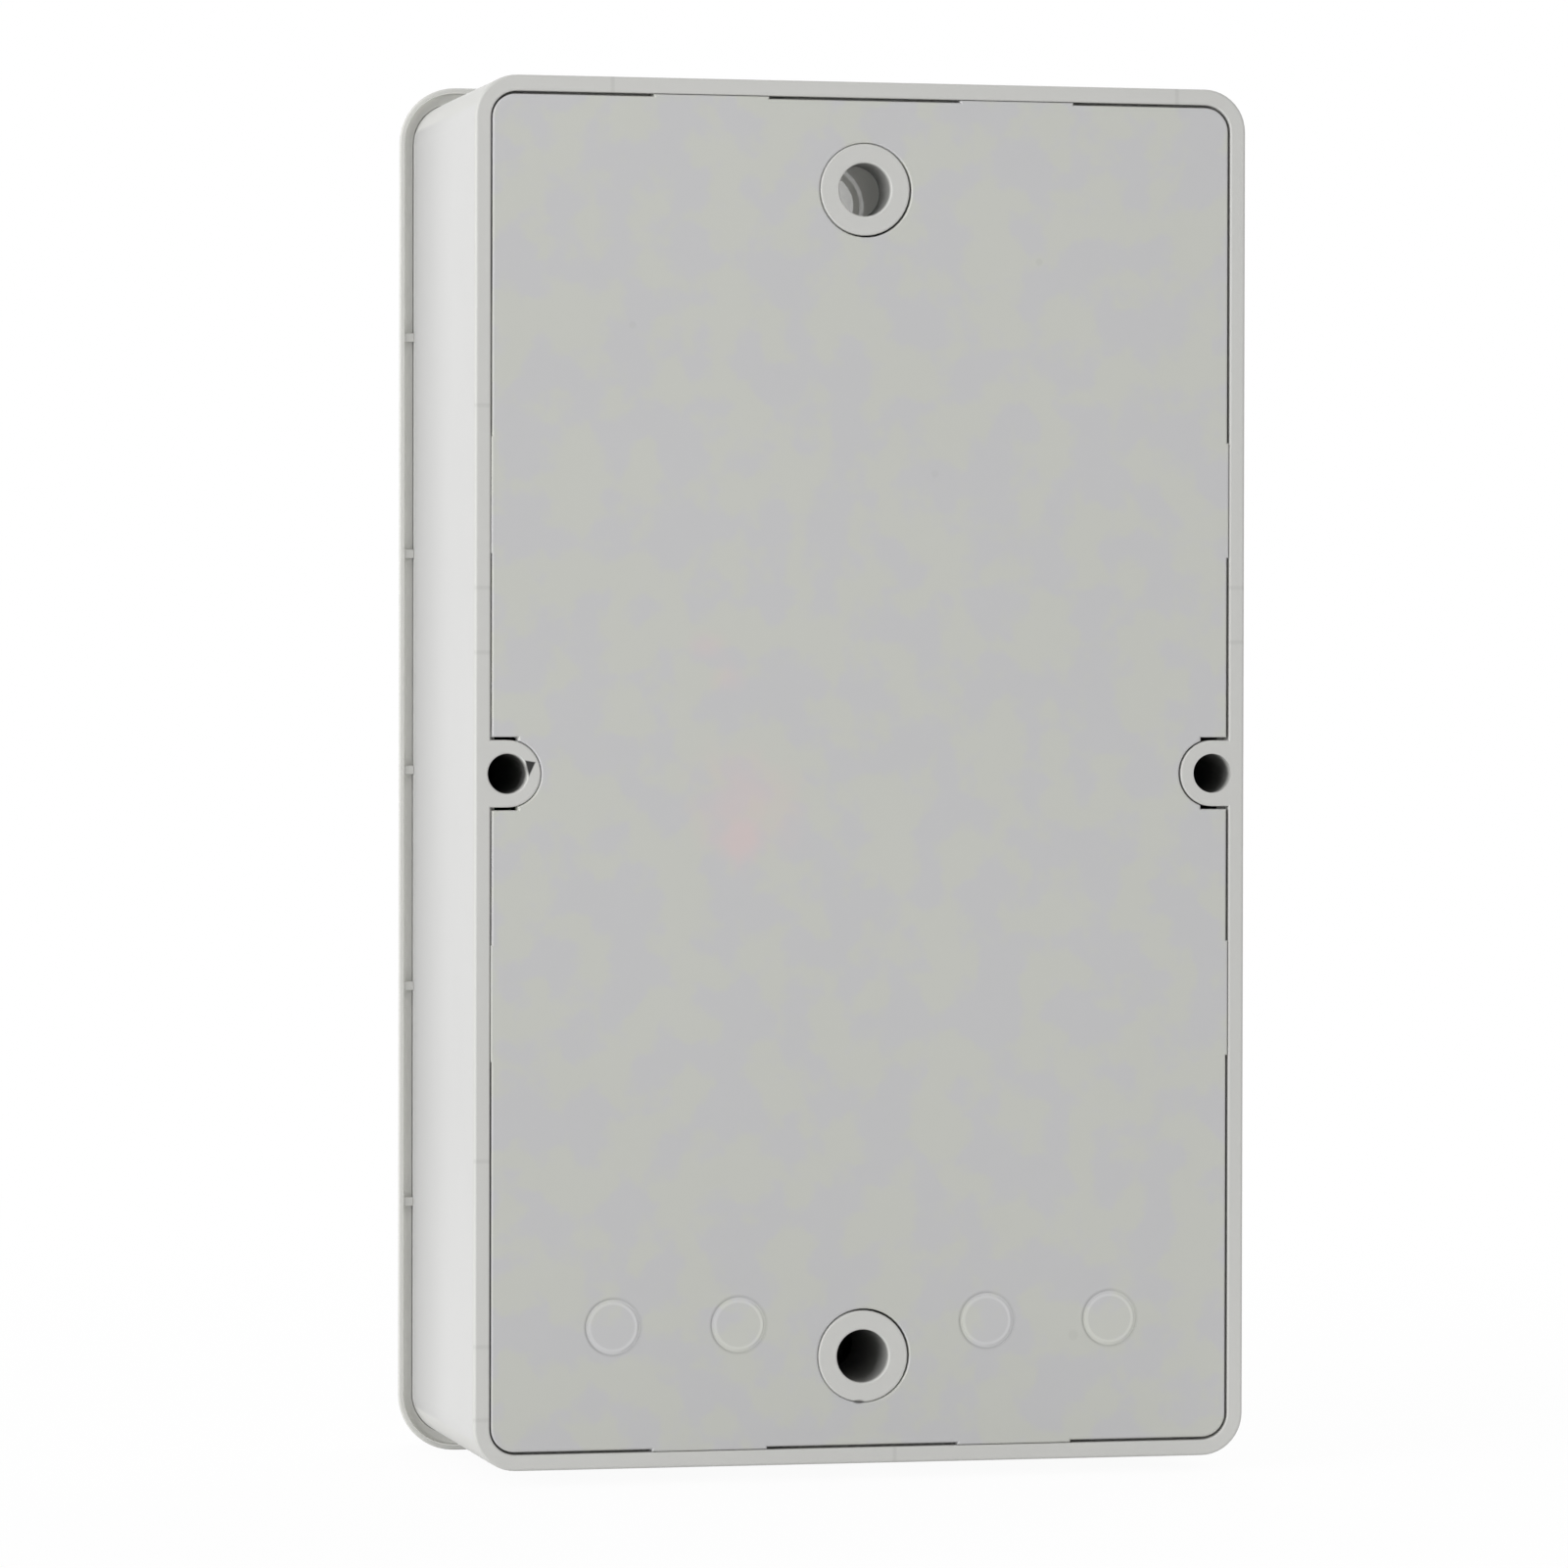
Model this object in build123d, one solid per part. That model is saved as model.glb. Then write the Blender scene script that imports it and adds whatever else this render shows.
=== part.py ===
from build123d import *
import os

# An upright wall-mounted electronic timer switch, in millimetres.
# X runs to the right as the front is faced, Z runs up and the front faces -Y. The origin is on the
# rear face, midway between the two wall fixings. Depths are measured forward from the wall, so a
# depth of d is the plane y = -d.

# Case outline
case_width = 81.75
case_height = 142.8
case_corner = 4.4
rim_wall = 1.65
side_wall = 2.4
rim_edge = 0.3
small_edge = 0.2

# Depths of the case and the cover
rear_plate_thickness = 2.0
lip_depth = 36.3
deck_depth = 39.2
deck_thickness = 1.8
cover_room = 3.3
cover_face = 2.2
case_depth = deck_depth + deck_thickness
cover_back = case_depth + cover_room
total_depth = cover_back + cover_face

# Gaps
seam = 0.3
side_seam = 0.2
tube_seam = 0.12
boss_seam = 0.11
slide_gap = 0.3
pin_gap = 0.05
board_gap = 0.4

# Front cover
cover_step = 1.7
cover_draft = 10.5
groove_width = 1.05
groove_depth = 1.05
cover_fit = 0.06
cover_wall = 3.2
cover_edge = 2.0
opening_edge = 0.25
rib_width = 0.9
rib_pitch = 23.15
rib_reach = 2
end_rib_pitch = 24.0
end_rib_reach = 1

# Wall fixings, at the pitch of a two-gang wall box
fixing_inset = 11.1
fixing_bore = 5.5
fixing_tube = 9.5
fixing_length = 16.5
upper_fixing_length = 5.3
well_bore = 10.6
well_wall = 1.6
well_floor = 1.8
web = 1.6

# Case screws, reached from the rear through the side bosses
boss_inset = 3.45
boss_height = 6.9
boss_bore = 4.1
boss_floor = 5.4
boss_relief = 1.2
screw_shank = 2.1
screw_head = 3.8
screw_head_height = 1.6
case_screw_length = 9.4
cover_boss = 6.0
drive_slot = 0.5
screw_edge = 0.4
screw_relief = 1.0

# Rear plate, which sits a little nearer one long side
plate_shift = 0.05
tube_shift = 0.06
end_tab_length = 12.1
end_tab_offset = 16.2
side_tab_length = 12.0
side_tab_heights = (28.5, -23.5)
tab_catch = 0.4
tab_start = 1.0
tab_end = 1.8
tab_gap = 0.05
tab_root = 1.0
catch_gap = 0.1
knockout_diameter = 5.9
knockout_web = 0.7
knockout_ring = 0.35
knockout_cut = 0.08
knockout_drop = 3.5
plate_rib_height = 1.2
plate_rib_length = 62.0
plate_rib_offset = 24.0
plate_pad = 3.0

# Terminals stand on a pitch of their own, with the middle way left out for the lower fixing
way_pitch = 13.2
ways_per_side = 2
block_length = 12.0
block_inset = 0.2
block_height = 16.5
block_wall = 0.5
clamp_width = 7.0
clamp_length = 8.0
clamp_start = 2.4
clamp_height = 8.5
clamp_wall = 1.1
clamp_bridge = 2.7
terminal_shank = 3.2
terminal_head = 5.4
terminal_head_height = 2.4
terminal_access = 6.0
wire_way = 3.8

# Partition between the electronics and the wiring chamber
partition_gap = 2.0
partition_wall = 1.8
chamber_ledge = 2.4

# Boards
power_board_depth = 5.0
power_board_thickness = 1.6
power_board_top_gap = 3.05
power_board_margin = 1.0
column_width = 4.4
column_height = 6.0
column_top_inset = 6.0
column_bottom_inset = 5.1
board_pilot = 1.9
board_screw_length = 8.0
board_screw_head = 4.0
board_screw_head_height = 1.5
deck_room = 5.2
display_board_thickness = 1.2
display_board_side_gap = 0.45
display_board_top_gap = 1.9
display_board_bottom_gap = 1.1
board_hole_gap = 0.1
post_diameter = 4.4
post_inset = 2.5
post_top_inset = 5.5
post_bottom_inset = 3.0
post_pilot = 1.7
post_screw_length = 5.4
post_screw_head = 3.4
post_screw_head_height = 1.3

# Display
display_drop = 28.3
lens_margin = 12.45
lens_height = 34.0
lens_thickness = 1.4
lens_corner = 2.5
lens_sunk = 0.2
lens_gap = 0.2
window_ledge = 2.0
glass_margin = 3.0
glass_height = 27.2
glass_thickness = 2.2
glass_step = 1.4
glass_rise = 0.6
frame_wall = 1.0
frame_gap = 0.1
strip_width = 2.0
strip_inset = 0.4
guide_gap = 0.5

# Keys
key_drop = 27.4
big_key_x = 18.5
big_key_width = 25.4
big_key_height = 8.4
big_key_corner = 2.0
big_key_proud = 0.6
big_key_edge = 0.5
key_flange = 1.1
flange_thickness = 1.0
key_travel = 0.5
stem_diameter = 3.0
switch_size = 6.0
switch_height = 3.5
switch_bore = 3.8
plunger_diameter = 3.2
plunger_sunk = 1.2
plunger_proud = 0.8
switch_spare = 0.1
small_row_drop = 7.1
row_pitch = 11.5
small_key_spots = {"key_day": -27.0, "key_hour": -9.0, "key_minute": 9.0, "key_program": 27.0}
small_key_diameter = 5.5
small_key_proud = 0.6
small_flange = 0.8
small_flange_thickness = 0.8
reset_x = 22.0
reset_diameter = 2.0
reset_sunk = 0.2

# Mode switch
mode_x = -14.0
mode_travel = 3.0
mode_body_width = 13.0
mode_body_height = 6.0
mode_body_depth = 4.5
mode_stem = 2.0
mode_cap_width = 6.0
mode_cap_height = 5.0
mode_cap_thickness = 0.7
mode_floor = 1.8
mode_ridges = 4

# Status lamp
pipe_diameter = 3.0
pipe_flange = 4.8
pipe_flange_thickness = 1.0
pipe_proud = 0.4
lamp_height = 3.6
lamp_edge = 1.0

# Flap and its recess
recess_width = 72.6
recess_drop = 9.5
recess_height = 28.3
recess_depth = 2.9
recess_floor_thickness = 1.6
recess_wall = 1.6
recess_chamfer = 1.6
flap_thickness = 1.8
flap_corner = 1.2
hinge_radius = 1.3
hinge_pin = 1.6
hinge_pin_length = 1.2
hinge_gap = 0.07
nail_width = 14.0
nail_height = 1.3
nail_depth = 1.0

# Terminal cover
lid_width = 68.4
lid_gap = 4.6
lid_inset = 3.9
lid_thickness = 2.0
lid_corner = 2.0
lid_wall = 1.4
lid_skirt = 2.5
lid_tab_spread = 40.0
lid_tab_width = 8.0
lid_tab_reach = 1.7
lid_tab_thickness = 1.6
lid_screw_drop = 5.0
lid_screw_shank = 3.0
lid_screw_head = 6.0
lid_screw_head_height = 2.0
lid_screw_length = 9.0
lid_boss = 9.6
lid_post = 6.4
lid_post_length = 18.0
lid_post_gap = 0.2

# Relay
relay_x = 20.0
relay_rise = 23.1
relay_width = 12.7
relay_length = 29.0
relay_height = 16.0
relay_wall = 0.8
relay_base_thickness = 1.6
relay_base_gap = 0.1
yoke_thickness = 1.2
yoke_width = 8.4
yoke_end = -12.2
yoke_reach = 1.4
yoke_rise = 11.6
core_z = -5.0
core_diameter = 4.0
pole_diameter = 6.0
pole_face = 11.2
pole_thickness = 0.6
bobbin_flange = 0.8
bobbin_gap = 0.1
bobbin_wall = 0.6
bobbin_size = 9.2
coil_diameter = 8.6
armature_gap = 0.15
armature_thickness = 1.2
armature_width = 8.0
armature_end = -0.6
blade_thickness = 0.3
blade_width = 5.0
blade_end = 10.5
blade_clearance = 0.6
blade_leg = 4.8
contact_z = 8.8
contact_diameter = 2.6
contact_height = 0.8
contact_gap = 1.05
contact_strip = 0.5
contact_space = 1.5

# Other parts on the power board, each placed by x and by its rise above the partition
suppressor_spot = (-3.0, 17.1)
suppressor_size = (10.0, 18.0, 15.0)
suppressor_edge = 0.8
can_groove_height = 2.0
can_groove_width = 0.8
can_groove_cut = 0.4
reservoir_spots = ((-26.0, 41.1), (-26.0, 55.1))
reservoir_sizes = ((10.0, 16.0), (8.0, 12.0))
varistor_spot = (-29.0, 15.1)
varistor_diameter = 10.0
varistor_thickness = 4.0
varistor_edge = 1.3
dropper_spot = (-16.0, 16.1)
dropper_diameter = 5.2
dropper_length = 15.0
diode_x = -9.0
diode_rise = 46.1
diode_pitch = 4.5
diode_count = 4
diode_diameter = 2.7
diode_length = 5.2
transistor_spots = ((10.0, 44.1), (18.0, 44.1))
transistor_diameter = 4.6
transistor_flat = 1.3
transistor_height = 4.6
lead = 0.8
lead_reach = 2.0
stand_off = 1.0
cell_x = 16.0
cell_drop = 24.5
cell_diameter = 20.0
cell_thickness = 3.2
tab_strip = 0.3
tab_width = 4.0

# Links between the boards
link_inset = 2.3
link_pitch = 2.54
link_count = 8
link_pin = 0.64
link_hole = 0.9
link_tail = 0.8
link_spacer_depth = 16.0
link_spacer_height = 2.5

# Parts on the back of the display board
chip_x = -6.0
chip_rise = 4.0
chip_size = 12.0
chip_thickness = 1.4
chip_leads = 9
chip_lead = 1.0
chip_lead_width = 0.6
crystal_x = 12.0
crystal_diameter = 3.0
crystal_length = 8.0
passive_size = (2.0, 1.25, 0.6)
passive_rises = (5.4, 11.4, -28.6)
passive_pitch = 5.0
passive_count = 7

# Places worked out from the sizes above
cover_width = case_width + 2 * cover_step
cover_height = case_height + 2 * cover_step
cover_corner = case_corner + cover_step
groove_end = lip_depth + groove_depth
fixing_z = case_height / 2 - fixing_inset
boss_x = case_width / 2 - boss_inset
head_seat = case_depth - boss_floor
inner_x = case_width / 2 - side_wall
inner_z = case_height / 2 - side_wall
rim_x = case_width / 2 - rim_wall
rim_z = case_height / 2 - rim_wall
board_x = inner_x - board_gap
lens_width = cover_width - 2 * lens_margin
glass_width = lens_width - 2 * glass_margin
display_z = fixing_z - display_drop
key_row = display_z - key_drop
recess_top = key_row - recess_drop
recess_bottom = recess_top - recess_height
recess_floor = total_depth - recess_depth
small_row = recess_top - small_row_drop
lower_row = small_row - row_pitch
lid_top = recess_bottom - lid_gap
lid_bottom = lid_inset - case_height / 2
lid_screw_z = lid_top - lid_screw_drop
ways = [way for way in range(-ways_per_side, ways_per_side + 1) if way]
block_top = lid_top - block_inset
block_bottom = block_top - block_length
partition_z = block_top + partition_gap
partition_top = partition_z + partition_wall / 2
power_board_front = power_board_depth + power_board_thickness
power_board_top = fixing_z - fixing_tube / 2 - power_board_top_gap
power_board_bottom = block_bottom - power_board_margin
cell_z = power_board_top - cell_drop
column_heights = (power_board_top - column_top_inset, partition_top + column_bottom_inset)
display_board_front = deck_depth - deck_room
display_board_depth = display_board_front - display_board_thickness
display_board_x = inner_x - column_width - display_board_side_gap
display_board_top = fixing_z - well_bore / 2 - well_wall - display_board_top_gap
display_board_bottom = partition_top + display_board_bottom_gap
post_x = display_board_x - post_inset
post_heights = (display_board_top - post_top_inset, display_board_bottom + post_bottom_inset)
link_z = display_board_top - link_inset
glass_back = deck_depth + glass_rise - glass_thickness
column_x = inner_x - column_width / 2
knockout_z = knockout_drop - fixing_z
flap_bottom = recess_bottom + slide_gap
hinge_z = flap_bottom + hinge_radius
hinge_depth = total_depth - hinge_radius
flap_top = recess_top - slide_gap
flap_width = recess_width - 2 * slide_gap
lens_depth = total_depth - lens_sunk - lens_thickness
switch_front = display_board_front + switch_height
plunger_back = switch_front - plunger_sunk
plunger_front = switch_front + plunger_proud
relay_z = partition_top + relay_rise
relay_axis_z = relay_z + yoke_end + yoke_thickness / 2
blade_front = power_board_front + yoke_rise + armature_gap + armature_thickness


# Outlines and straight pieces

def slab(left, right, bottom, top):
    """A rectangle seen from the front, given by its four sides."""
    return Pos((left + right) / 2, (bottom + top) / 2) * Rectangle(right - left, top - bottom)


def round_slab(x, z, width, height, corner):
    """A rectangle with round corners about a centre."""
    return Pos(x, z) * RectangleRounded(width, height, corner)


def prism(outline, start, end, draft=0.0):
    """An outline carried forward from one depth to another, its sides leaning in by a draft."""
    return extrude(Plane.XZ.offset(start) * outline, amount=end - start, taper=draft)


def block(left, right, bottom, top, start, end):
    return prism(slab(left, right, bottom, top), start, end)


def rod(x, z, diameter, start, end):
    return prism(Pos(x, z) * Circle(diameter / 2), start, end)


def cross_rod(x_start, x_end, z, depth, diameter):
    """A round bar along X."""
    face = Plane.YZ.offset(x_start) * Pos(-depth, z) * Circle(diameter / 2)
    return extrude(face, amount=x_end - x_start)


def upright_rod(x, depth, z_start, z_end, diameter):
    """A round bar along Z."""
    face = Plane.XY.offset(z_start) * Pos(x, -depth) * Circle(diameter / 2)
    return extrude(face, amount=z_end - z_start)


def edges_at(shape, depth):
    """The edges that lie in the plane of one depth."""
    return shape.edges().filter_by_position(Axis.Y, -depth - 0.001, -depth + 0.001)


def edges_within(shape, depth, reach_x, reach_z):
    """Those of them that lie within a rectangle about the middle."""
    return edges_at(shape, depth).filter_by(
        lambda edge: abs(edge.center().X) < reach_x and abs(edge.center().Z) < reach_z)


def both_sides(make):
    """The same piece on the left and the right."""
    return make(-1) + make(1)


def boss_outline(side, growth=0.0):
    """The D shape of a side boss: a half round whose straight sides run out to the case wall."""
    radius = boss_height / 2 + growth
    x = side * boss_x
    wall_x = side * (rim_x + rim_wall / 2)
    inner_half = Pos(x, 0) * Circle(radius)
    inner_half &= slab(min(0, x), max(0, x), -radius, radius)
    return inner_half + slab(min(x, wall_x), max(x, wall_x), -radius, radius)


def boss_notch(side):
    """The plate's notch round a side boss: close at the half round, wider at the straight sides."""
    half = boss_height / 2 + seam
    wall_x = side * (rim_x + rim_wall / 2)
    round_x = side * (boss_x - boss_relief)
    return boss_outline(side, boss_seam) + slab(min(round_x, wall_x), max(round_x, wall_x), -half, half)


def screw(x, z, shank, head, head_height, under_head, length, slot):
    """A screw driven from the rear: its head lies behind the depth under_head."""
    top = under_head - head_height
    reach = head / 2 - slot
    piece = rod(x, z, head, top, under_head)
    piece += rod(x, z, shank, under_head, under_head + length)
    piece -= block(x - reach, x + reach, z - slot / 2, z + slot / 2, top, top + slot)
    piece -= block(x - slot / 2, x + slot / 2, z - reach, z + reach, top, top + slot)
    return piece


def tab_spots():
    """Centre, length and outward direction of the eight snap tabs."""
    spots = []
    for up in (-1, 1):
        for side in (-1, 1):
            spots.append((side * end_tab_offset, up * rim_z, end_tab_length, 0, up))
    for side in (-1, 1):
        for z in side_tab_heights:
            spots.append((side * rim_x, z, side_tab_length, side, 0))
    return spots


def tab_outline(spot, inward, outward, growth=0.0):
    """A strip along the rim at one tab, from inward of the rim's face to outward of it."""
    x, z, length, out_x, out_z = spot
    half = length / 2 + growth
    if out_x:
        ends = sorted((x - out_x * inward, x + out_x * outward))
        return slab(ends[0], ends[1], z - half, z + half)
    ends = sorted((z - out_z * inward, z + out_z * outward))
    return slab(x - half, x + half, ends[0], ends[1])


# Case and covers

def make_body():
    outline = RectangleRounded(case_width, case_height, case_corner)
    shell = prism(outline, 0, case_depth)
    shell = fillet(edges_at(shell, 0), rim_edge)
    shell -= prism(RectangleRounded(2 * rim_x, 2 * rim_z, case_corner - rim_wall),
                   0, rear_plate_thickness)
    shell -= prism(RectangleRounded(2 * inner_x, 2 * inner_z, case_corner - side_wall),
                   rear_plate_thickness, deck_depth)
    chamber_x = inner_x - chamber_ledge
    chamber_bottom = -inner_z + chamber_ledge
    chamber_top = partition_z - partition_wall / 2
    shell -= block(-chamber_x, chamber_x, chamber_bottom, chamber_top, deck_depth, case_depth)

    shell += prism(boss_outline(-1) + boss_outline(1), 0, case_depth)
    shell += block(-inner_x, inner_x, chamber_top, chamber_top + partition_wall,
                   power_board_front + slide_gap, deck_depth)

    well = well_bore + 2 * well_wall
    floor_start = upper_fixing_length - well_floor
    shell += rod(0, fixing_z, fixing_tube, 0, upper_fixing_length)
    shell += rod(0, fixing_z, well, floor_start, deck_depth)
    shell += block(-web / 2, web / 2, fixing_z + well / 2 - web, inner_z, floor_start, deck_depth)
    shell += rod(0, -fixing_z, fixing_tube, 0, fixing_length)
    web_x = fixing_tube / 2 - web
    shell += both_sides(lambda side: block(side * web_x - web / 2, side * web_x + web / 2, -inner_z,
                                           -fixing_z, rear_plate_thickness + seam, fixing_length))

    for side in (-1, 1):
        x = side * column_x
        for z in column_heights:
            shell += block(x - column_width / 2, x + column_width / 2, z - column_height / 2,
                           z + column_height / 2, power_board_front, deck_depth)
            shell -= rod(x, z, board_pilot, power_board_front, power_board_front + board_screw_length)
        x = side * post_x
        for z in post_heights:
            shell += rod(x, z, post_diameter, display_board_front, deck_depth)
            shell -= rod(x, z, post_pilot, display_board_front, display_board_front + post_screw_length)

    post_start = case_depth - lid_post_length
    shell += rod(0, lid_screw_z, lid_post, post_start, lid_post_end())
    shell += block(-web / 2, web / 2, lid_screw_z, chamber_top, post_start, deck_depth)
    shell -= rod(0, lid_screw_z, lid_screw_shank + 2 * pin_gap,
                 lid_head_seat() - lid_screw_length - screw_relief, lid_post_end())

    shell -= rod(0, fixing_z, well_bore, upper_fixing_length, case_depth)
    shell -= rod(0, fixing_z, fixing_bore, 0, upper_fixing_length)
    shell -= rod(0, -fixing_z, fixing_bore, 0, fixing_length)
    for side in (-1, 1):
        shell -= rod(side * boss_x, 0, boss_bore, 0, head_seat)
        shell -= rod(side * boss_x, 0, screw_shank + 2 * pin_gap, head_seat, case_depth)

    window_x = glass_width / 2 + frame_gap
    window_z = glass_height / 2 + frame_gap
    shell -= block(-window_x, window_x, display_z - window_z, display_z + window_z,
                   deck_depth, case_depth)
    for side in (-1, 1):
        shell -= rod(side * big_key_x, key_row, stem_diameter + 2 * slide_gap, deck_depth, case_depth)
    shell -= rod(0, key_row, pipe_diameter + 2 * slide_gap, deck_depth, case_depth)
    hole = small_key_diameter + 2 * small_flange + 2 * slide_gap
    for x in small_key_spots.values():
        shell -= rod(x, small_row, hole, deck_depth, case_depth)
    hole = reset_diameter + 2 * small_flange + 2 * slide_gap
    shell -= rod(reset_x, lower_row, hole, deck_depth, case_depth)
    shell -= mode_slot(deck_depth, case_depth)

    for spot in tab_spots():
        shell -= prism(tab_outline(spot, 0, tab_catch + catch_gap, catch_gap),
                       tab_start - catch_gap, rear_plate_thickness)
    return fillet(edges_within(shell, 0, rim_x + small_edge, rim_z + small_edge), small_edge)


def make_rear_plate():
    width = 2 * (rim_x - side_seam)
    height = 2 * (rim_z - seam)
    outline = Pos(plate_shift, 0) * RectangleRounded(width, height, case_corner - rim_wall - seam)
    for spot in tab_spots():
        outline += tab_outline(spot, seam + tab_root, -tab_gap)
    plate = prism(outline, 0, rear_plate_thickness)
    plate -= Pos(plate_shift, 0) * both_sides(
        lambda side: prism(boss_notch(side), 0, rear_plate_thickness))
    for up in (-1, 1):
        plate -= rod(-tube_shift, up * (fixing_z - tube_shift), fixing_tube + 2 * tube_seam,
                     0, rear_plate_thickness)
    plate = fillet(edges_at(plate, 0), small_edge)
    for spot in tab_spots():
        plate += prism(tab_outline(spot, seam + tab_root, tab_catch), tab_start, tab_end)
    for up in (-1, 1):
        z = up * plate_rib_offset
        plate += block(-plate_rib_length / 2, plate_rib_length / 2, z - web / 2, z + web / 2,
                       rear_plate_thickness, rear_plate_thickness + plate_rib_height)
        for side in (-1, 1):
            plate += rod(side * plate_rib_offset, z, plate_pad, rear_plate_thickness,
                         power_board_depth - pin_gap)
    for way in ways:
        x = way * way_pitch
        ring = Circle(knockout_diameter / 2) - Circle(knockout_diameter / 2 - knockout_ring)
        plate -= prism(Pos(x, knockout_z) * ring, 0, knockout_cut)
        plate -= rod(x, knockout_z, knockout_diameter, knockout_web, rear_plate_thickness)
    return plate


def make_front_cover():
    shell = prism(RectangleRounded(cover_width, cover_height, cover_corner), lip_depth, total_depth,
                  cover_draft)
    shell = fillet(edges_at(shell, total_depth), cover_edge)
    for gap, end in ((groove_width, groove_end), (cover_fit, case_depth)):
        shell -= prism(RectangleRounded(case_width + 2 * gap, case_height + 2 * gap,
                                        case_corner + gap), lip_depth, end)
    shell = fillet(edges_at(shell, lip_depth), small_edge)
    shell -= prism(RectangleRounded(cover_width - 2 * cover_wall, cover_height - 2 * cover_wall,
                                    cover_corner - cover_wall), case_depth, cover_back)

    rib_out = case_width / 2 + groove_width + small_edge
    rib_in = case_width / 2 + pin_gap
    end_out = case_height / 2 + groove_width + small_edge
    end_in = case_height / 2 + pin_gap
    for side in (-1, 1):
        for step in range(-rib_reach, rib_reach + 1):
            z = step * rib_pitch
            ends = sorted((side * rib_in, side * rib_out))
            shell += block(ends[0], ends[1], z - rib_width / 2, z + rib_width / 2,
                           lip_depth + small_edge, groove_end)
        for step in range(-end_rib_reach, end_rib_reach + 1):
            x = step * end_rib_pitch
            ends = sorted((side * end_in, side * end_out))
            shell += block(x - rib_width / 2, x + rib_width / 2, ends[0], ends[1],
                           lip_depth + small_edge, groove_end)
        shell += rod(side * boss_x, 0, cover_boss, case_depth, cover_back)

    floor_back = recess_floor - recess_floor_thickness
    half = recess_width / 2
    shell += block(-half - recess_wall, half + recess_wall, recess_bottom - recess_wall,
                   recess_top + recess_wall, floor_back, cover_back)
    shell += rod(0, fixing_z, well_bore + 2 * well_wall, case_depth, cover_back)

    shell -= rod(0, fixing_z, well_bore, case_depth, total_depth)
    shell -= block(-half, half, recess_bottom, recess_top, recess_floor, total_depth)
    shell -= recess_lip()
    window = prism(round_slab(0, display_z, lens_width - 2 * window_ledge,
                              lens_height - 2 * window_ledge, lens_corner / 2), cover_back, lens_depth)
    rebate = prism(round_slab(0, display_z, lens_width + 2 * lens_gap, lens_height + 2 * lens_gap,
                              lens_corner + lens_gap), lens_depth, total_depth)
    shell -= window + rebate
    for side in (-1, 1):
        shell -= prism(round_slab(side * big_key_x, key_row, big_key_width + 2 * slide_gap,
                                  big_key_height + 2 * slide_gap, big_key_corner + slide_gap),
                       cover_back, total_depth)
    shell -= rod(0, key_row, pipe_diameter + 2 * pin_gap, cover_back, total_depth)
    shell -= prism(round_slab(0, (lid_top + lid_bottom) / 2, lid_width + 2 * slide_gap,
                              lid_top - lid_bottom + 2 * slide_gap, lid_corner + slide_gap),
                   cover_back, total_depth)
    openings = edges_within(shell, total_depth, half + small_edge, slide_gap + small_edge - lid_bottom)
    shell = fillet(openings, opening_edge)

    for x in small_key_spots.values():
        shell -= rod(x, small_row, small_key_diameter + 2 * slide_gap, floor_back, recess_floor)
    shell -= rod(reset_x, lower_row, reset_diameter + 2 * slide_gap, floor_back, recess_floor)
    shell -= mode_slot(floor_back, recess_floor)
    for side in (-1, 1):
        shell -= rod(side * boss_x, 0, screw_shank + 2 * pin_gap, case_depth,
                     head_seat + case_screw_length + slide_gap)
        ends = sorted((side * half, side * (half + hinge_pin_length)))
        shell -= cross_rod(ends[0], ends[1], hinge_z, hinge_depth, hinge_pin + 2 * hinge_gap)
    return shell


def recess_lip():
    """The slope below the flap that lets it fold down past the face."""
    size = recess_chamfer
    half = recess_width / 2
    corner = Polyline((-total_depth, recess_bottom), (-total_depth, recess_bottom - size),
                      (-total_depth + size, recess_bottom), close=True)
    return extrude(Plane.YZ.offset(-half) * make_face(corner), amount=2 * half)


def mode_slot(start, end):
    half = mode_travel + mode_stem / 2 + slide_gap
    tall = mode_stem / 2 + slide_gap
    return block(mode_x - half, mode_x + half, lower_row - tall, lower_row + tall, start, end)


def make_case_screws():
    return [screw(side * boss_x, 0, screw_shank, screw_head, screw_head_height, head_seat,
                  case_screw_length, drive_slot) for side in (-1, 1)]


def lid_head_seat():
    return total_depth - lid_screw_head_height - lens_sunk


def lid_post_end():
    return total_depth - lid_thickness - lid_skirt - lid_post_gap


def make_terminal_cover():
    middle = (lid_top + lid_bottom) / 2
    height = lid_top - lid_bottom
    back = total_depth - lid_thickness
    lid = prism(round_slab(0, middle, lid_width, height, lid_corner), back, total_depth)
    lid = fillet(edges_at(lid, total_depth), opening_edge)
    ring = round_slab(0, middle, lid_width - 2 * slide_gap, height - 2 * slide_gap, lid_corner)
    ring -= round_slab(0, middle, lid_width - 2 * slide_gap - 2 * lid_wall,
                       height - 2 * slide_gap - 2 * lid_wall, lid_corner / 2)
    lid += prism(ring, back - lid_skirt, back)
    lid += rod(0, lid_screw_z, lid_boss, back - lid_skirt, back)
    for side in (-1, 1):
        x = side * lid_tab_spread / 2
        lid += block(x - lid_tab_width / 2, x + lid_tab_width / 2, lid_bottom - lid_tab_reach,
                     lid_bottom + lid_wall, cover_back - slide_gap - lid_tab_thickness,
                     cover_back - slide_gap)
    lid -= rod(0, lid_screw_z, lid_screw_head + 2 * slide_gap, lid_head_seat(), total_depth)
    lid -= rod(0, lid_screw_z, lid_screw_shank + 2 * pin_gap, back - lid_skirt, lid_head_seat())
    return lid


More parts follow.
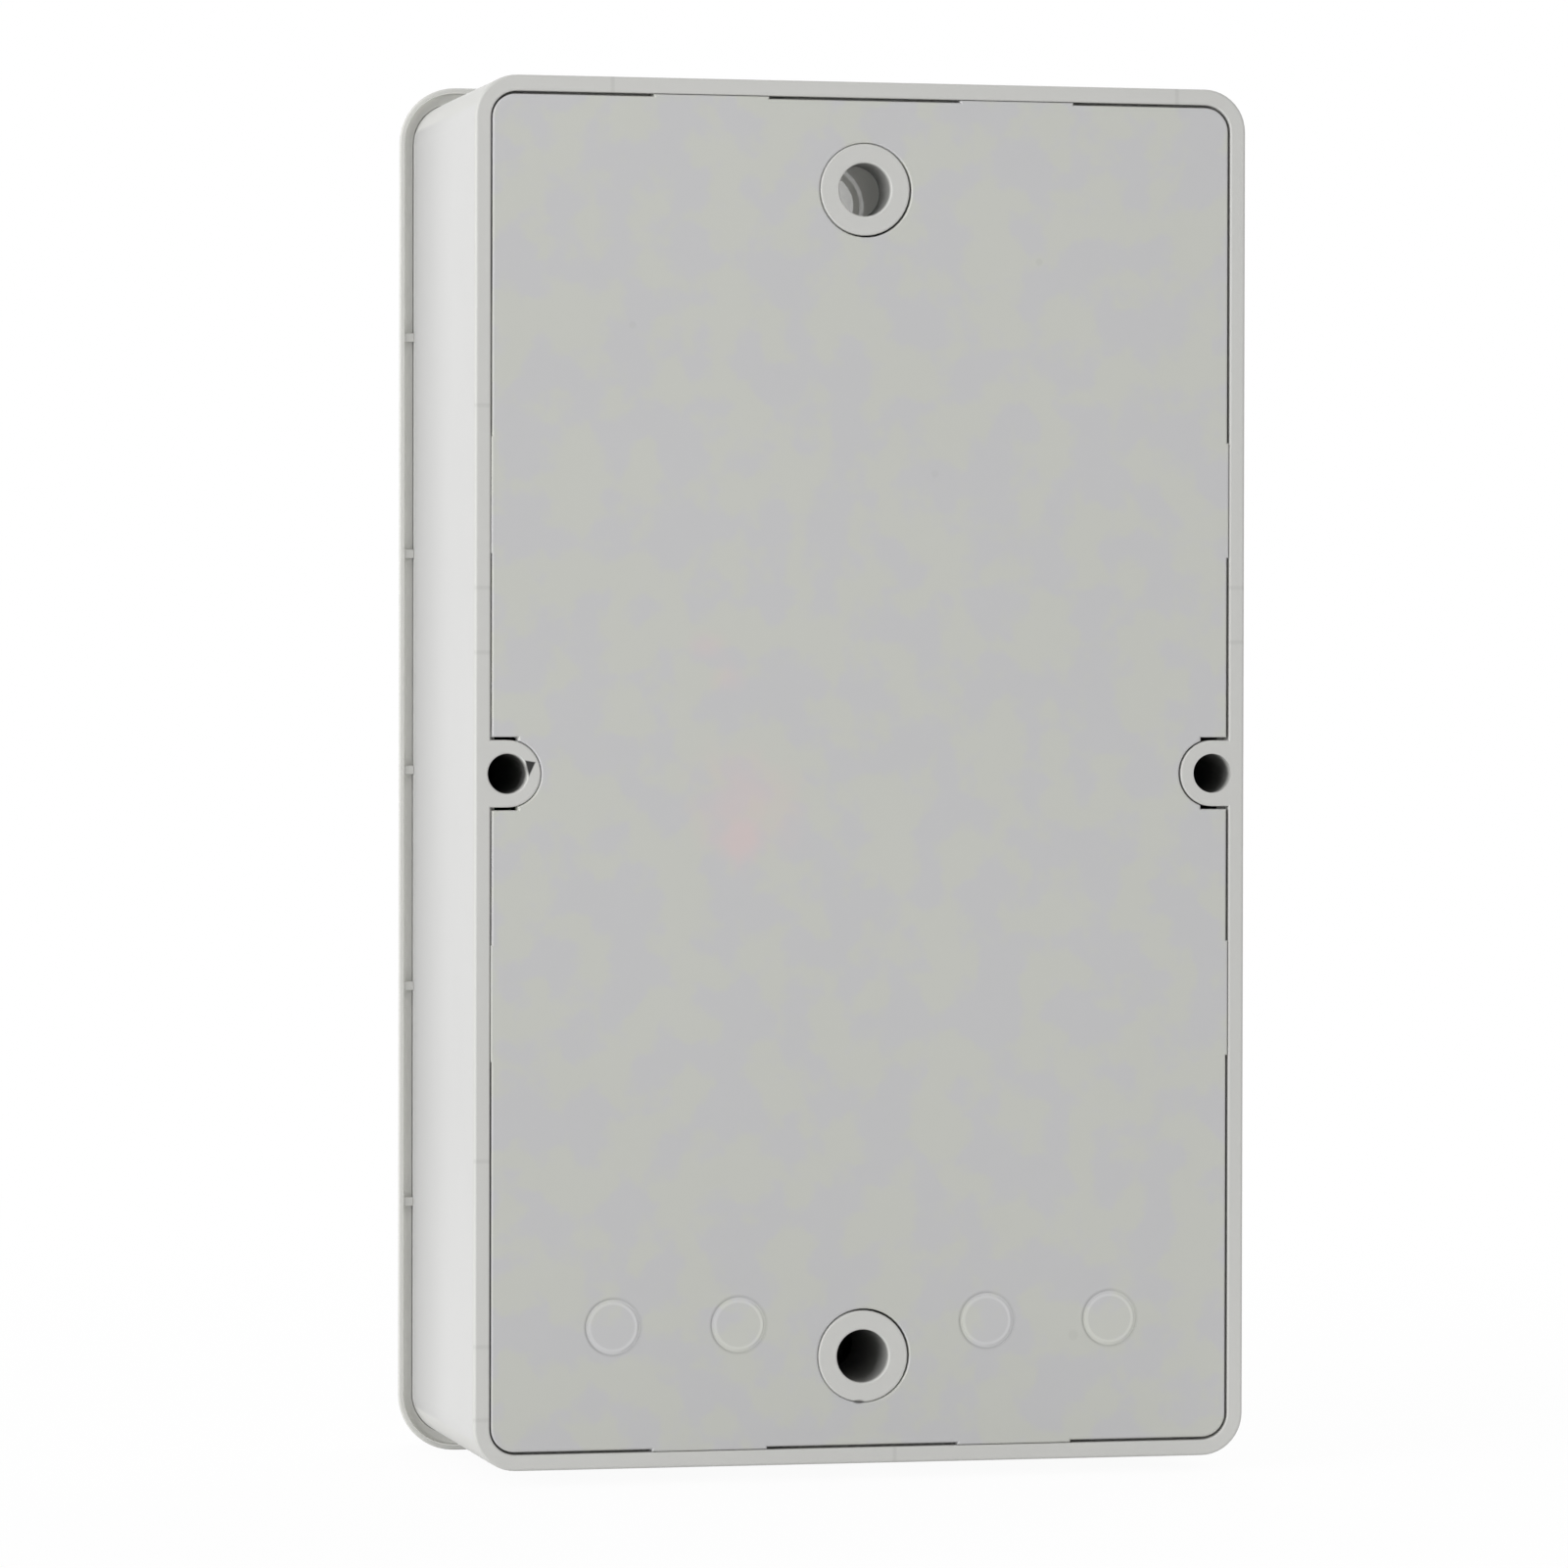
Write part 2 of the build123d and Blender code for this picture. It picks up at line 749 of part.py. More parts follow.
def make_terminal_cover_screw():
    seat = lid_head_seat()
    top = seat + lid_screw_head_height
    piece = rod(0, lid_screw_z, lid_screw_head, seat, top)
    piece = fillet(edges_at(piece, top), screw_edge)
    piece += rod(0, lid_screw_z, lid_screw_shank, seat - lid_screw_length, seat)
    reach = lid_screw_head / 2
    half = drive_slot
    return piece - block(-reach, reach, lid_screw_z - half, lid_screw_z + half, top - 2 * half, top)


def make_display_lens():
    outline = round_slab(0, display_z, lens_width, lens_height, lens_corner)
    lens = prism(outline, lens_depth, lens_depth + lens_thickness)
    return fillet(edges_at(lens, lens_depth + lens_thickness), small_edge)


def make_flap():
    half = flap_width / 2
    back = total_depth - flap_thickness
    middle = (flap_top + hinge_z) / 2
    panel = prism(round_slab(0, middle, flap_width, flap_top - hinge_z, flap_corner),
                  back, total_depth)
    panel += block(-half, half, hinge_z, hinge_z + flap_corner, back, total_depth)
    panel = fillet(edges_at(panel, total_depth).filter_by(
        lambda edge: edge.center().Z > hinge_z + small_edge), small_edge)
    panel += cross_rod(-half, half, hinge_z, hinge_depth, 2 * hinge_radius)
    pin_out = recess_width / 2 + hinge_pin_length - slide_gap
    panel += cross_rod(-pin_out, pin_out, hinge_z, hinge_depth, hinge_pin)
    panel -= block(-nail_width / 2, nail_width / 2, flap_top - nail_height, flap_top,
                   total_depth - nail_depth, total_depth)
    return panel


# Keys and the pieces they press

def plunger(x, z):
    return rod(x, z, plunger_diameter, plunger_back, plunger_front)


def make_big_key(side):
    x = side * big_key_x
    front = total_depth + big_key_proud
    flange_front = cover_back - slide_gap
    flange_back = flange_front - flange_thickness
    cap = prism(round_slab(x, key_row, big_key_width, big_key_height, big_key_corner),
                flange_back, front)
    cap = fillet(edges_at(cap, front), big_key_edge)
    cap += prism(round_slab(x, key_row, big_key_width + 2 * key_flange,
                            big_key_height + 2 * key_flange, big_key_corner),
                 flange_back, flange_front)
    cap += rod(x, key_row, stem_diameter, plunger_front, flange_back)
    return [cap, plunger(x, key_row)]


def small_key(x, z, diameter, front):
    flange_front = recess_floor - recess_floor_thickness - slide_gap
    flange_back = flange_front - small_flange_thickness
    cap = rod(x, z, diameter, flange_back, front)
    cap = fillet(edges_at(cap, front), opening_edge)
    cap += rod(x, z, diameter + 2 * small_flange, flange_back, flange_front)
    cap += rod(x, z, min(diameter, stem_diameter), plunger_front, flange_back)
    return [cap, plunger(x, z)]


def make_small_key(name):
    return small_key(small_key_spots[name], small_row, small_key_diameter,
                     recess_floor + small_key_proud)


def make_reset_key():
    return small_key(reset_x, lower_row, reset_diameter, recess_floor - reset_sunk)


def make_mode_knob():
    half = mode_stem / 2
    foot = display_board_front + mode_floor + switch_spare
    cap_back = recess_floor + switch_spare
    cap_front = cap_back + mode_cap_thickness
    knob = block(mode_x - half, mode_x + half, lower_row - half, lower_row + half, foot, cap_back)
    cap = block(mode_x - mode_cap_width / 2, mode_x + mode_cap_width / 2,
                lower_row - mode_cap_height / 2, lower_row + mode_cap_height / 2, cap_back, cap_front)
    groove = mode_cap_width / (2 * mode_ridges + 1)
    for ridge in range(mode_ridges):
        x = mode_x - mode_cap_width / 2 + (2 * ridge + 1.5) * groove
        cap -= block(x - groove / 2, x + groove / 2, lower_row - mode_cap_height / 2,
                     lower_row + mode_cap_height / 2, cap_front - mode_cap_thickness / 2, cap_front)
    return knob + cap


def make_mode_switch():
    front = display_board_front + mode_body_depth
    body = block(mode_x - mode_body_width / 2, mode_x + mode_body_width / 2,
                 lower_row - mode_body_height / 2, lower_row + mode_body_height / 2,
                 display_board_front, front)
    return body - mode_slot(display_board_front + mode_floor, front)


def switch_spots():
    spots = [(-big_key_x, key_row), (big_key_x, key_row)]
    spots += [(x, small_row) for x in small_key_spots.values()]
    return spots + [(reset_x, lower_row)]


def make_tact_switches():
    half = switch_size / 2
    cut = plunger_back - key_travel - switch_spare
    switches = []
    for x, z in switch_spots():
        body = block(x - half, x + half, z - half, z + half, display_board_front, switch_front)
        switches.append(body - rod(x, z, switch_bore, cut, switch_front))
    return switches


def make_light_pipe():
    flange_front = cover_back
    front = total_depth + pipe_proud
    pipe = rod(0, key_row, pipe_diameter, display_board_front + lamp_height + slide_gap, front)
    pipe = fillet(edges_at(pipe, front), pipe_proud)
    return pipe + rod(0, key_row, pipe_flange, flange_front - pipe_flange_thickness, flange_front)


def make_status_lamp():
    front = display_board_front + lamp_height
    lamp = rod(0, key_row, pipe_diameter, display_board_front, front)
    return fillet(edges_at(lamp, front), lamp_edge)


# Display board and what it carries

def link_spots():
    first = -(link_count - 1) / 2 * link_pitch
    return [(first + number * link_pitch, link_z) for number in range(link_count)]


def make_display_board():
    board = block(-display_board_x, display_board_x, display_board_bottom, display_board_top,
                  display_board_depth, display_board_front)
    for side in (-1, 1):
        for z in post_heights:
            board -= rod(side * post_x, z, post_pilot + 2 * board_hole_gap, display_board_depth,
                         display_board_front)
    for x, z in link_spots():
        board -= rod(x, z, link_hole, display_board_depth, display_board_front)
    return board


def make_display_board_screws():
    shank = post_pilot - 2 * pin_gap
    length = display_board_thickness + post_screw_length - slide_gap
    return [screw(side * post_x, z, shank, post_screw_head, post_screw_head_height,
                  display_board_depth, length, drive_slot)
            for side in (-1, 1) for z in post_heights]


def make_lcd_frame():
    inner = slab(-glass_width / 2 - frame_gap, glass_width / 2 + frame_gap,
                 display_z - glass_height / 2 - frame_gap, display_z + glass_height / 2 + frame_gap)
    outer = slab(-glass_width / 2 - frame_gap - frame_wall, glass_width / 2 + frame_gap + frame_wall,
                 display_z - glass_height / 2 - frame_gap - frame_wall,
                 display_z + glass_height / 2 + frame_gap + frame_wall)
    return prism(outer - inner, display_board_front, deck_depth - slide_gap)


def make_lcd_glass():
    middle = glass_back + glass_thickness / 2
    width = glass_width / 2
    height = glass_height / 2
    back = block(-width, width, display_z - height, display_z + height, glass_back, middle)
    front = block(-width, width, display_z - height + glass_step, display_z + height - glass_step,
                  middle, glass_back + glass_thickness)
    return back + front


def strip_z(up):
    return display_z + up * (glass_height / 2 - strip_inset - strip_width / 2)


def make_contact_strips():
    half = glass_width / 2 - strip_inset
    return [block(-half, half, strip_z(up) - strip_width / 2, strip_z(up) + strip_width / 2,
                  display_board_front, glass_back) for up in (-1, 1)]


def make_light_guide():
    half = glass_width / 2 - strip_inset
    reach = strip_width / 2 + guide_gap
    return block(-half, half, strip_z(-1) + reach, strip_z(1) - reach, display_board_front, glass_back)


def make_microcontroller():
    x = chip_x
    z = small_row + chip_rise
    half = chip_size / 2
    foot = display_board_depth
    chip = block(x - half, x + half, z - half, z + half, foot - chip_thickness, foot - pin_gap)
    pitch = chip_size / (chip_leads + 1)
    reach = half + chip_lead
    width = chip_lead_width / 2
    for number in range(chip_leads):
        along = (number - (chip_leads - 1) / 2) * pitch
        chip += block(x - reach, x + reach, z + along - width, z + along + width, foot - width, foot)
        chip += block(x + along - width, x + along + width, z - reach, z + reach, foot - width, foot)
    return chip


def make_quartz_crystal():
    z = small_row + chip_rise
    depth = display_board_depth - crystal_diameter / 2
    return upright_rod(crystal_x, depth, z - crystal_length / 2, z + crystal_length / 2,
                       crystal_diameter)


def make_display_chips():
    width, height, thickness = passive_size
    pieces = []
    for rise in passive_rises:
        z = key_row + rise
        for number in range(passive_count):
            x = (number - (passive_count - 1) / 2) * passive_pitch
            pieces.append(block(x - width / 2, x + width / 2, z - height / 2, z + height / 2,
                                display_board_depth - thickness, display_board_depth))
    return pieces


# Power board and what it carries

def make_power_board():
    board = block(-board_x, board_x, power_board_bottom, power_board_top,
                  power_board_depth, power_board_front)
    board -= prism(boss_outline(-1, board_gap) + boss_outline(1, board_gap),
                   power_board_depth, power_board_front)
    notch = fixing_tube / 2 + board_gap
    board -= rod(0, -fixing_z, 2 * notch, power_board_depth, power_board_front)
    board -= block(-notch, notch, -inner_z, -fixing_z, power_board_depth, power_board_front)
    for side in (-1, 1):
        for z in column_heights:
            board -= rod(side * column_x, z, board_pilot + 2 * board_hole_gap, power_board_depth,
                         power_board_front)
    for x, z in link_spots():
        board -= rod(x, z, link_hole, power_board_depth, power_board_front)
    return board


def make_power_board_screws():
    shank = board_pilot - 2 * pin_gap
    length = power_board_thickness + board_screw_length - slide_gap
    return [screw(side * column_x, z, shank, board_screw_head, board_screw_head_height,
                  power_board_depth, length, drive_slot)
            for side in (-1, 1) for z in column_heights]


def make_board_link_pins():
    return [rod(x, z, link_pin, power_board_depth - link_tail, display_board_front + link_tail)
            for x, z in link_spots()]


def make_board_link_spacer():
    half = link_count * link_pitch / 2
    spacer = block(-half, half, link_z - link_spacer_height / 2, link_z + link_spacer_height / 2,
                   link_spacer_depth, link_spacer_depth + link_spacer_height)
    for x, z in link_spots():
        spacer -= rod(x, z, link_pin + pin_gap, link_spacer_depth,
                      link_spacer_depth + link_spacer_height)
    return spacer


def relay_slab(width, bottom, top):
    """A rectangle centred on the relay's width, placed along its length."""
    return slab(relay_x - width / 2, relay_x + width / 2, relay_z + bottom, relay_z + top)


def make_relay_case():
    foot = power_board_front
    half = relay_length / 2
    inner = half - relay_wall
    case = prism(relay_slab(relay_width, -half, half), foot, foot + relay_height)
    case = fillet(edges_at(case, foot + relay_height), relay_wall / 2)
    return case - prism(relay_slab(relay_width - 2 * relay_wall, -inner, inner),
                        foot, foot + relay_height - relay_wall)


def make_relay_base():
    half = relay_length / 2 - relay_wall - relay_base_gap
    width = relay_width - 2 * relay_wall - 2 * relay_base_gap
    return prism(relay_slab(width, -half, half), power_board_front,
                 power_board_front + relay_base_thickness)


def make_relay_yoke():
    foot = power_board_front + relay_base_thickness
    floor = foot + yoke_thickness
    centre = relay_z + core_z
    yoke = prism(relay_slab(yoke_width, yoke_end, yoke_reach), foot, floor)
    yoke += prism(relay_slab(yoke_width, yoke_end, yoke_end + yoke_thickness), foot,
                  power_board_front + yoke_rise)
    pole_back = power_board_front + pole_face - pole_thickness
    yoke += rod(relay_x, centre, core_diameter, floor, pole_back)
    yoke += rod(relay_x, centre, pole_diameter, pole_back, power_board_front + pole_face)
    return yoke


def bobbin_ends():
    start = power_board_front + relay_base_thickness + yoke_thickness + pin_gap
    end = power_board_front + pole_face - pole_thickness - pin_gap
    return start, end


def make_relay_bobbin():
    start, end = bobbin_ends()
    centre = relay_z + core_z
    half = bobbin_size / 2
    bore = core_diameter + 2 * bobbin_gap
    piece = rod(relay_x, centre, bore + 2 * bobbin_wall, start, end)
    for depth in (start, end - bobbin_flange):
        piece += block(relay_x - half, relay_x + half, centre - half, centre + half,
                       depth, depth + bobbin_flange)
    return piece - rod(relay_x, centre, bore, start, end)


def make_relay_coil():
    start, end = bobbin_ends()
    centre = relay_z + core_z
    margin = bobbin_flange + pin_gap
    bore = core_diameter + 2 * bobbin_gap + 2 * bobbin_wall + 2 * pin_gap
    winding = rod(relay_x, centre, coil_diameter, start + margin, end - margin)
    return winding - rod(relay_x, centre, bore, start + margin, end - margin)


def make_relay_armature():
    back = power_board_front + yoke_rise + armature_gap
    return prism(relay_slab(armature_width, yoke_end, armature_end), back, back + armature_thickness)


def make_relay_contact_blade():
    front = blade_front + blade_thickness
    outer = yoke_end - blade_clearance
    blade = prism(relay_slab(blade_width, outer, blade_end), blade_front, front)
    blade += prism(relay_slab(blade_width, outer - blade_thickness, outer),
                   blade_front - blade_leg, front)
    z = relay_z + contact_z
    return blade + rod(relay_x, z, contact_diameter, blade_front - contact_height, blade_front)


def make_relay_fixed_contacts():
    foot = power_board_front + relay_base_thickness
    z = relay_z + contact_z
    open_face = blade_front - contact_height - contact_gap
    reach = contact_z - contact_diameter / 2
    first_end = blade_end
    button = rod(relay_x, z, contact_diameter, open_face - contact_height, open_face)
    shelf = open_face - contact_height
    arm = prism(relay_slab(blade_width, reach, first_end + contact_strip), shelf - contact_strip, shelf)
    leg = prism(relay_slab(blade_width, first_end, first_end + contact_strip), foot, shelf)
    lower = button + arm + leg
    rest_face = blade_front + blade_thickness + pin_gap
    second_end = first_end + contact_space
    button = rod(relay_x, z, contact_diameter, rest_face, rest_face + contact_strip)
    shelf = rest_face + contact_strip
    arm = prism(relay_slab(blade_width, reach, second_end + contact_strip), shelf,
                shelf + contact_strip)
    leg = prism(relay_slab(blade_width, second_end, second_end + contact_strip), foot,
                shelf + contact_strip)
    return [lower, button + arm + leg]


def make_suppression_capacitor():
    x, rise = suppressor_spot
    z = partition_top + rise
    width, height, depth = suppressor_size
    front = power_board_front + depth
    case = block(x - width / 2, x + width / 2, z - height / 2, z + height / 2,
                 power_board_front, front)
    return fillet(edges_at(case, front), suppressor_edge)


def make_reservoir_capacitors():
    cans = []
    for (x, rise), (diameter, height) in zip(reservoir_spots, reservoir_sizes):
        z = partition_top + rise
        front = power_board_front + height
        can = rod(x, z, diameter, power_board_front, front)
        can = fillet(edges_at(can, front), suppressor_edge)
        start = power_board_front + can_groove_height
        end = start + can_groove_width
        ring = rod(x, z, diameter + can_groove_width, start, end)
        ring -= rod(x, z, diameter - 2 * can_groove_cut, start, end)
        cans.append(can - ring)
    return cans


def leads(x, z, spread):
    """Two straight leads that stand on the board, apart along Z."""
    foot = power_board_front
    rise = foot + stand_off + lead_reach
    return rod(x, z - spread / 2, lead, foot, rise) + rod(x, z + spread / 2, lead, foot, rise)


def make_varistor():
    x, rise = varistor_spot
    z = partition_top + rise
    depth = power_board_front + stand_off + varistor_diameter / 2
    disc = cross_rod(x - varistor_thickness / 2, x + varistor_thickness / 2, z, depth,
                     varistor_diameter)
    disc = fillet(disc.edges().filter_by(GeomType.CIRCLE), varistor_edge)
    return disc + leads(x, z, varistor_diameter / 2)


def axial(x, rise, diameter, length):
    """A round component along Z that lies above the board on bent leads."""
    z = partition_top + rise
    depth = power_board_front + stand_off + diameter / 2
    piece = upright_rod(x, depth, z - length / 2, z + length / 2, diameter)
    piece += upright_rod(x, depth, z - length / 2 - lead_reach, z + length / 2 + lead_reach, lead)
    for up in (-1, 1):
        end = z + up * (length / 2 + lead_reach - lead / 2)
        piece += rod(x, end, lead, power_board_front, depth)
    return piece


def make_rectifier_diodes():
    first = diode_x - (diode_count - 1) / 2 * diode_pitch
    return [axial(first + number * diode_pitch, diode_rise, diode_diameter, diode_length)
            for number in range(diode_count)]


def make_transistors():
    pieces = []
    foot = power_board_front
    for x, rise in transistor_spots:
        z = partition_top + rise
        outline = Pos(x, z) * Circle(transistor_diameter / 2)
        outline &= slab(x - transistor_diameter, x + transistor_diameter, z - transistor_flat,
                        z + transistor_diameter)
        body = prism(outline, foot + lead_reach, foot + lead_reach + transistor_height)
        for step in (-1, 0, 1):
            body += rod(x + step * link_pitch / 2, z, lead, foot, foot + lead_reach)
        pieces.append(body)
    return pieces


def cell_back():
    return power_board_front + stand_off + tab_strip


def make_backup_cell():
    front = cell_back() + cell_thickness
    cell = rod(cell_x, cell_z, cell_diameter, cell_back(), front)
    return fillet(edges_at(cell, front), suppressor_edge)


def make_cell_tabs():
    x = cell_x
    z = cell_z
    foot = power_board_front
    half = tab_width / 2
    edge = cell_diameter / 2
    lower_plate = block(x - half, x + half, z - edge - lead_reach, z + edge / 2,
                        cell_back() - tab_strip, cell_back())
    lower_leg = block(x - half, x + half, z - edge - lead_reach, z - edge - lead_reach + tab_strip,
                      foot, cell_back())
    front = cell_back() + cell_thickness
    upper_plate = block(x - half, x + half, z - edge / 2, z + edge + lead_reach,
                        front, front + tab_strip)
    upper_leg = block(x - half, x + half, z + edge + lead_reach - tab_strip, z + edge + lead_reach,
                      foot, front + tab_strip)
    return [lower_plate + lower_leg, upper_plate + upper_leg]


# Terminals

def way_x(way):
    return way * way_pitch


def clamp_z():
    return (block_bottom + block_top) / 2


def make_terminal_blocks():
    foot = power_board_front
    front = foot + block_height
    start = foot + clamp_start
    pieces = []
    for pair in (ways[:ways_per_side], ways[ways_per_side:]):
        left = way_x(pair[0]) - way_pitch / 2 + block_wall
        right = way_x(pair[-1]) + way_pitch / 2 - block_wall
        body = block(left, right, block_bottom, block_top, foot, front)
        body = fillet(edges_at(body, front), screw_edge)
        for way in pair:
            x = way_x(way)
            half = clamp_width / 2 + pin_gap
            reach = clamp_length / 2 + pin_gap
            body -= block(x - half, x + half, clamp_z() - reach, clamp_z() + reach,
                          start - pin_gap, start + clamp_height + pin_gap)
            body -= rod(x, clamp_z(), terminal_access, start + clamp_height, front)
            body -= block(x - wire_way / 2, x + wire_way / 2, block_bottom, clamp_z(),
                          start + clamp_wall, start + clamp_wall + wire_way)
        pieces.append(body)
    return pieces


def make_terminal_clamps():
    start = power_board_front + clamp_start
    end = start + clamp_height
    half = clamp_width / 2
    reach = clamp_length / 2
    clamps = []
    for way in ways:
        x = way_x(way)
        cage = block(x - half, x + half, clamp_z() - reach, clamp_z() + reach, start, end)
        cage -= block(x - half + clamp_wall, x + half - clamp_wall, clamp_z() - reach,
                      clamp_z() + reach, start + clamp_wall, end - clamp_bridge)
        cage -= rod(x, clamp_z(), terminal_shank + 2 * pin_gap, end - clamp_bridge, end)
        clamps.append(cage)
    return clamps


def make_terminal_screws():
    end = power_board_front + clamp_start + clamp_height
    seat = end + slide_gap
    screws = []
    for way in ways:
        x = way_x(way)
        top = seat + terminal_head_height
        piece = rod(x, clamp_z(), terminal_head, seat, top)
        piece += rod(x, clamp_z(), terminal_shank, end - clamp_bridge - drive_slot, seat)
        reach = terminal_head / 2
        piece -= block(x - reach, x + reach, clamp_z() - drive_slot, clamp_z() + drive_slot,
                       top - 2 * drive_slot, top)
        screws.append(piece)
    return screws


def make_nodes():
    nodes = {
        "rear_plate": make_rear_plate(),
        "body": make_body(),
        "front_cover": make_front_cover(),
        "case_screws": make_case_screws(),
        "terminal_cover": make_terminal_cover(),
        "terminal_cover_screw": make_terminal_cover_screw(),
        "display_lens": make_display_lens(),
        "flap": make_flap(),
        "boost_button": make_big_key(-1),
        "override_button": make_big_key(1),
        "reset_key": make_reset_key(),
        "mode_knob": make_mode_knob(),
        "mode_switch": make_mode_switch(),
        "light_pipe": make_light_pipe(),
        "status_lamp": make_status_lamp(),
        "tact_switches": make_tact_switches(),
        "display_board": make_display_board(),
        "display_board_screws": make_display_board_screws(),
        "lcd_frame": make_lcd_frame(),
        "lcd_glass": make_lcd_glass(),
        "contact_strips": make_contact_strips(),
        "light_guide": make_light_guide(),
        "microcontroller": make_microcontroller(),
        "quartz_crystal": make_quartz_crystal(),
        "display_chips": make_display_chips(),
        "power_board": make_power_board(),
        "power_board_screws": make_power_board_screws(),
        "board_link_pins": make_board_link_pins(),
        "board_link_spacer": make_board_link_spacer(),
        "relay_case": make_relay_case(),
        "relay_base": make_relay_base(),
        "relay_yoke": make_relay_yoke(),
        "relay_bobbin": make_relay_bobbin(),
        "relay_coil": make_relay_coil(),
        "relay_armature": make_relay_armature(),
        "relay_contact_blade": make_relay_contact_blade(),
        "relay_fixed_contacts": make_relay_fixed_contacts(),
        "suppression_capacitor": make_suppression_capacitor(),
        "reservoir_capacitors": make_reservoir_capacitors(),
        "varistor": make_varistor(),
        "dropper_resistor": axial(*dropper_spot, dropper_diameter, dropper_length),
        "rectifier_diodes": make_rectifier_diodes(),
        "transistors": make_transistors(),
        "backup_cell": make_backup_cell(),
        "cell_tabs": make_cell_tabs(),
        "terminal_blocks": make_terminal_blocks(),
        "terminal_clamps": make_terminal_clamps(),
        "terminal_screws": make_terminal_screws(),
    }
    for name in small_key_spots:
        nodes[name] = make_small_key(name)
    return nodes


def main():
    os.makedirs("parts", exist_ok=True)
    for name, shape in make_nodes().items():
        solids = shape if isinstance(shape, list) else [shape]
        pieces = [solid for piece in solids for solid in piece.solids()]
        model = pieces[0] if len(pieces) == 1 else Compound(children=pieces)
        model.label = name
        export_step(model, f"parts/{name}.step")


if __name__ == "__main__":
    main()
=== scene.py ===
import math
from functools import partialmethod, reduce

import bpy
import numpy as np
from bpy.props import FloatProperty, FloatVectorProperty, IntProperty, PointerProperty
from bpy.props import StringProperty
from mathutils import Matrix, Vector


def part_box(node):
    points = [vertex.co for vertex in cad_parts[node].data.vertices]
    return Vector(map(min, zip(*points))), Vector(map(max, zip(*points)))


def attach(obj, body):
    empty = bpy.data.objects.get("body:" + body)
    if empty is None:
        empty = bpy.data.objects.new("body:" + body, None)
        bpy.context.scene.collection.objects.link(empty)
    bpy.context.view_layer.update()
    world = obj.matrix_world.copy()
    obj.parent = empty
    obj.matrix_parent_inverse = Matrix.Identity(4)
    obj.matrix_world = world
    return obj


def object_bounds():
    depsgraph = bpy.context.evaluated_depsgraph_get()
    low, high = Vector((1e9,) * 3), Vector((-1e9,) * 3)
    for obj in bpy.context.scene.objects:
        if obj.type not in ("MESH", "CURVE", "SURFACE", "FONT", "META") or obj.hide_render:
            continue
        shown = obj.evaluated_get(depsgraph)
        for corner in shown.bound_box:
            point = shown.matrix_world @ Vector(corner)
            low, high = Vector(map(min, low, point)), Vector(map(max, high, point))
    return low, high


bl_info = {
    "name": "Timer switch",
    "version": (1, 0, 0),
    "blender": (4, 5, 0),
    "location": "3D View > Sidebar > Timer switch",
    "description": "Finishes, markings and studio for an upright wall-mounted timer switch",
    "category": "Object",
}

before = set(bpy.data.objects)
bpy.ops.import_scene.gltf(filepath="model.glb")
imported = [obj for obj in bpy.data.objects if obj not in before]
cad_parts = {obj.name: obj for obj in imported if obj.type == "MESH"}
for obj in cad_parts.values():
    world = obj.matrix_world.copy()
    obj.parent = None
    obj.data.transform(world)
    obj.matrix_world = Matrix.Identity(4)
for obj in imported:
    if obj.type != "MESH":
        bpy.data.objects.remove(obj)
cad_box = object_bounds()

MM = 0.001

# The studio: the camera's sensor in millimetres, its near limit, each lamp's side and place and the
# floor's half width in metres, and the distances in millimetres over which the floor's shade fades

SENSOR = 36.0
NEAR_LIMIT = 0.01
KEY_LAMP = (0.9, (1.15, 0.55, 0.12))
FILL_LAMP = (1.1, (-0.5, -1.1, 0.7))
FLOOR_HALF = 4.0
SHADE_FADE = (90, 420)

# Sizes of the soft noise on moulded plastic, in millimetres, and the spread of its roughness

BLOTCH_SIZE = 26.0
GLOSS_SIZE = 9.0
GLOSS_SPREAD = 0.12
GRAIN_SIZE = 0.16


def tone(red, green, blue):
    """A screen colour, 0 to 255, as the linear colour that a shader takes."""
    parts = []
    for part in (red, green, blue):
        part /= 255
        parts.append(part / 12.92 if part <= 0.04045 else ((part + 0.055) / 1.055) ** 2.4)
    return (*parts, 1.0)


def millimetres(name, about, default):
    return FloatProperty(name=name, description=about, default=default * MM, unit="LENGTH",
                         subtype="DISTANCE", precision=5)


def colour(name, about, red, green, blue):
    return FloatVectorProperty(name=name, description="Colour of the " + about, size=4, subtype="COLOR",
                               default=tone(red, green, blue), min=0.0, max=1.0)


def share(name, about, default):
    return FloatProperty(name=name, description=about, default=default, min=0.0, max=1.0,
                         subtype="FACTOR")


class StudioSettings(bpy.types.PropertyGroup):
    """Camera, lamps and floor."""
    distance: millimetres("Distance", "From the lens to the object's rear face", 717.6)
    turn: FloatProperty(name="Turn", description="How far the camera stands to the object's side",
                        default=math.radians(12.795), subtype="ANGLE")
    rise: FloatProperty(name="Rise", description="How far the camera looks down",
                        default=math.radians(0.742), subtype="ANGLE")
    roll: FloatProperty(name="Roll", description="Turn of the picture about its middle",
                        default=math.radians(-0.105), subtype="ANGLE")
    aside: millimetres("Aside", "How far the object's middle stands right of the picture's", 8.284)
    above: millimetres("Above", "How far the object's middle stands above the picture's", 1.085)
    scale: FloatProperty(name="Scale", description="Picture points to a millimetre at the rear face",
                         default=9.8784)
    picture: FloatProperty(name="Picture", description="Width of the picture in points", default=1601)
    ambient: FloatProperty(name="Ambient", description="Light from all round", default=0.64)
    key_power: FloatProperty(name="Key", description="Power of the lamp at the camera's left",
                             default=15.8, unit="POWER")
    fill_power: FloatProperty(name="Fill", description="Power of the lamp before the front face",
                              default=7.2, unit="POWER")
    shadow: share("Shadow", "How much of the floor's real shade the camera sees", 0.05)


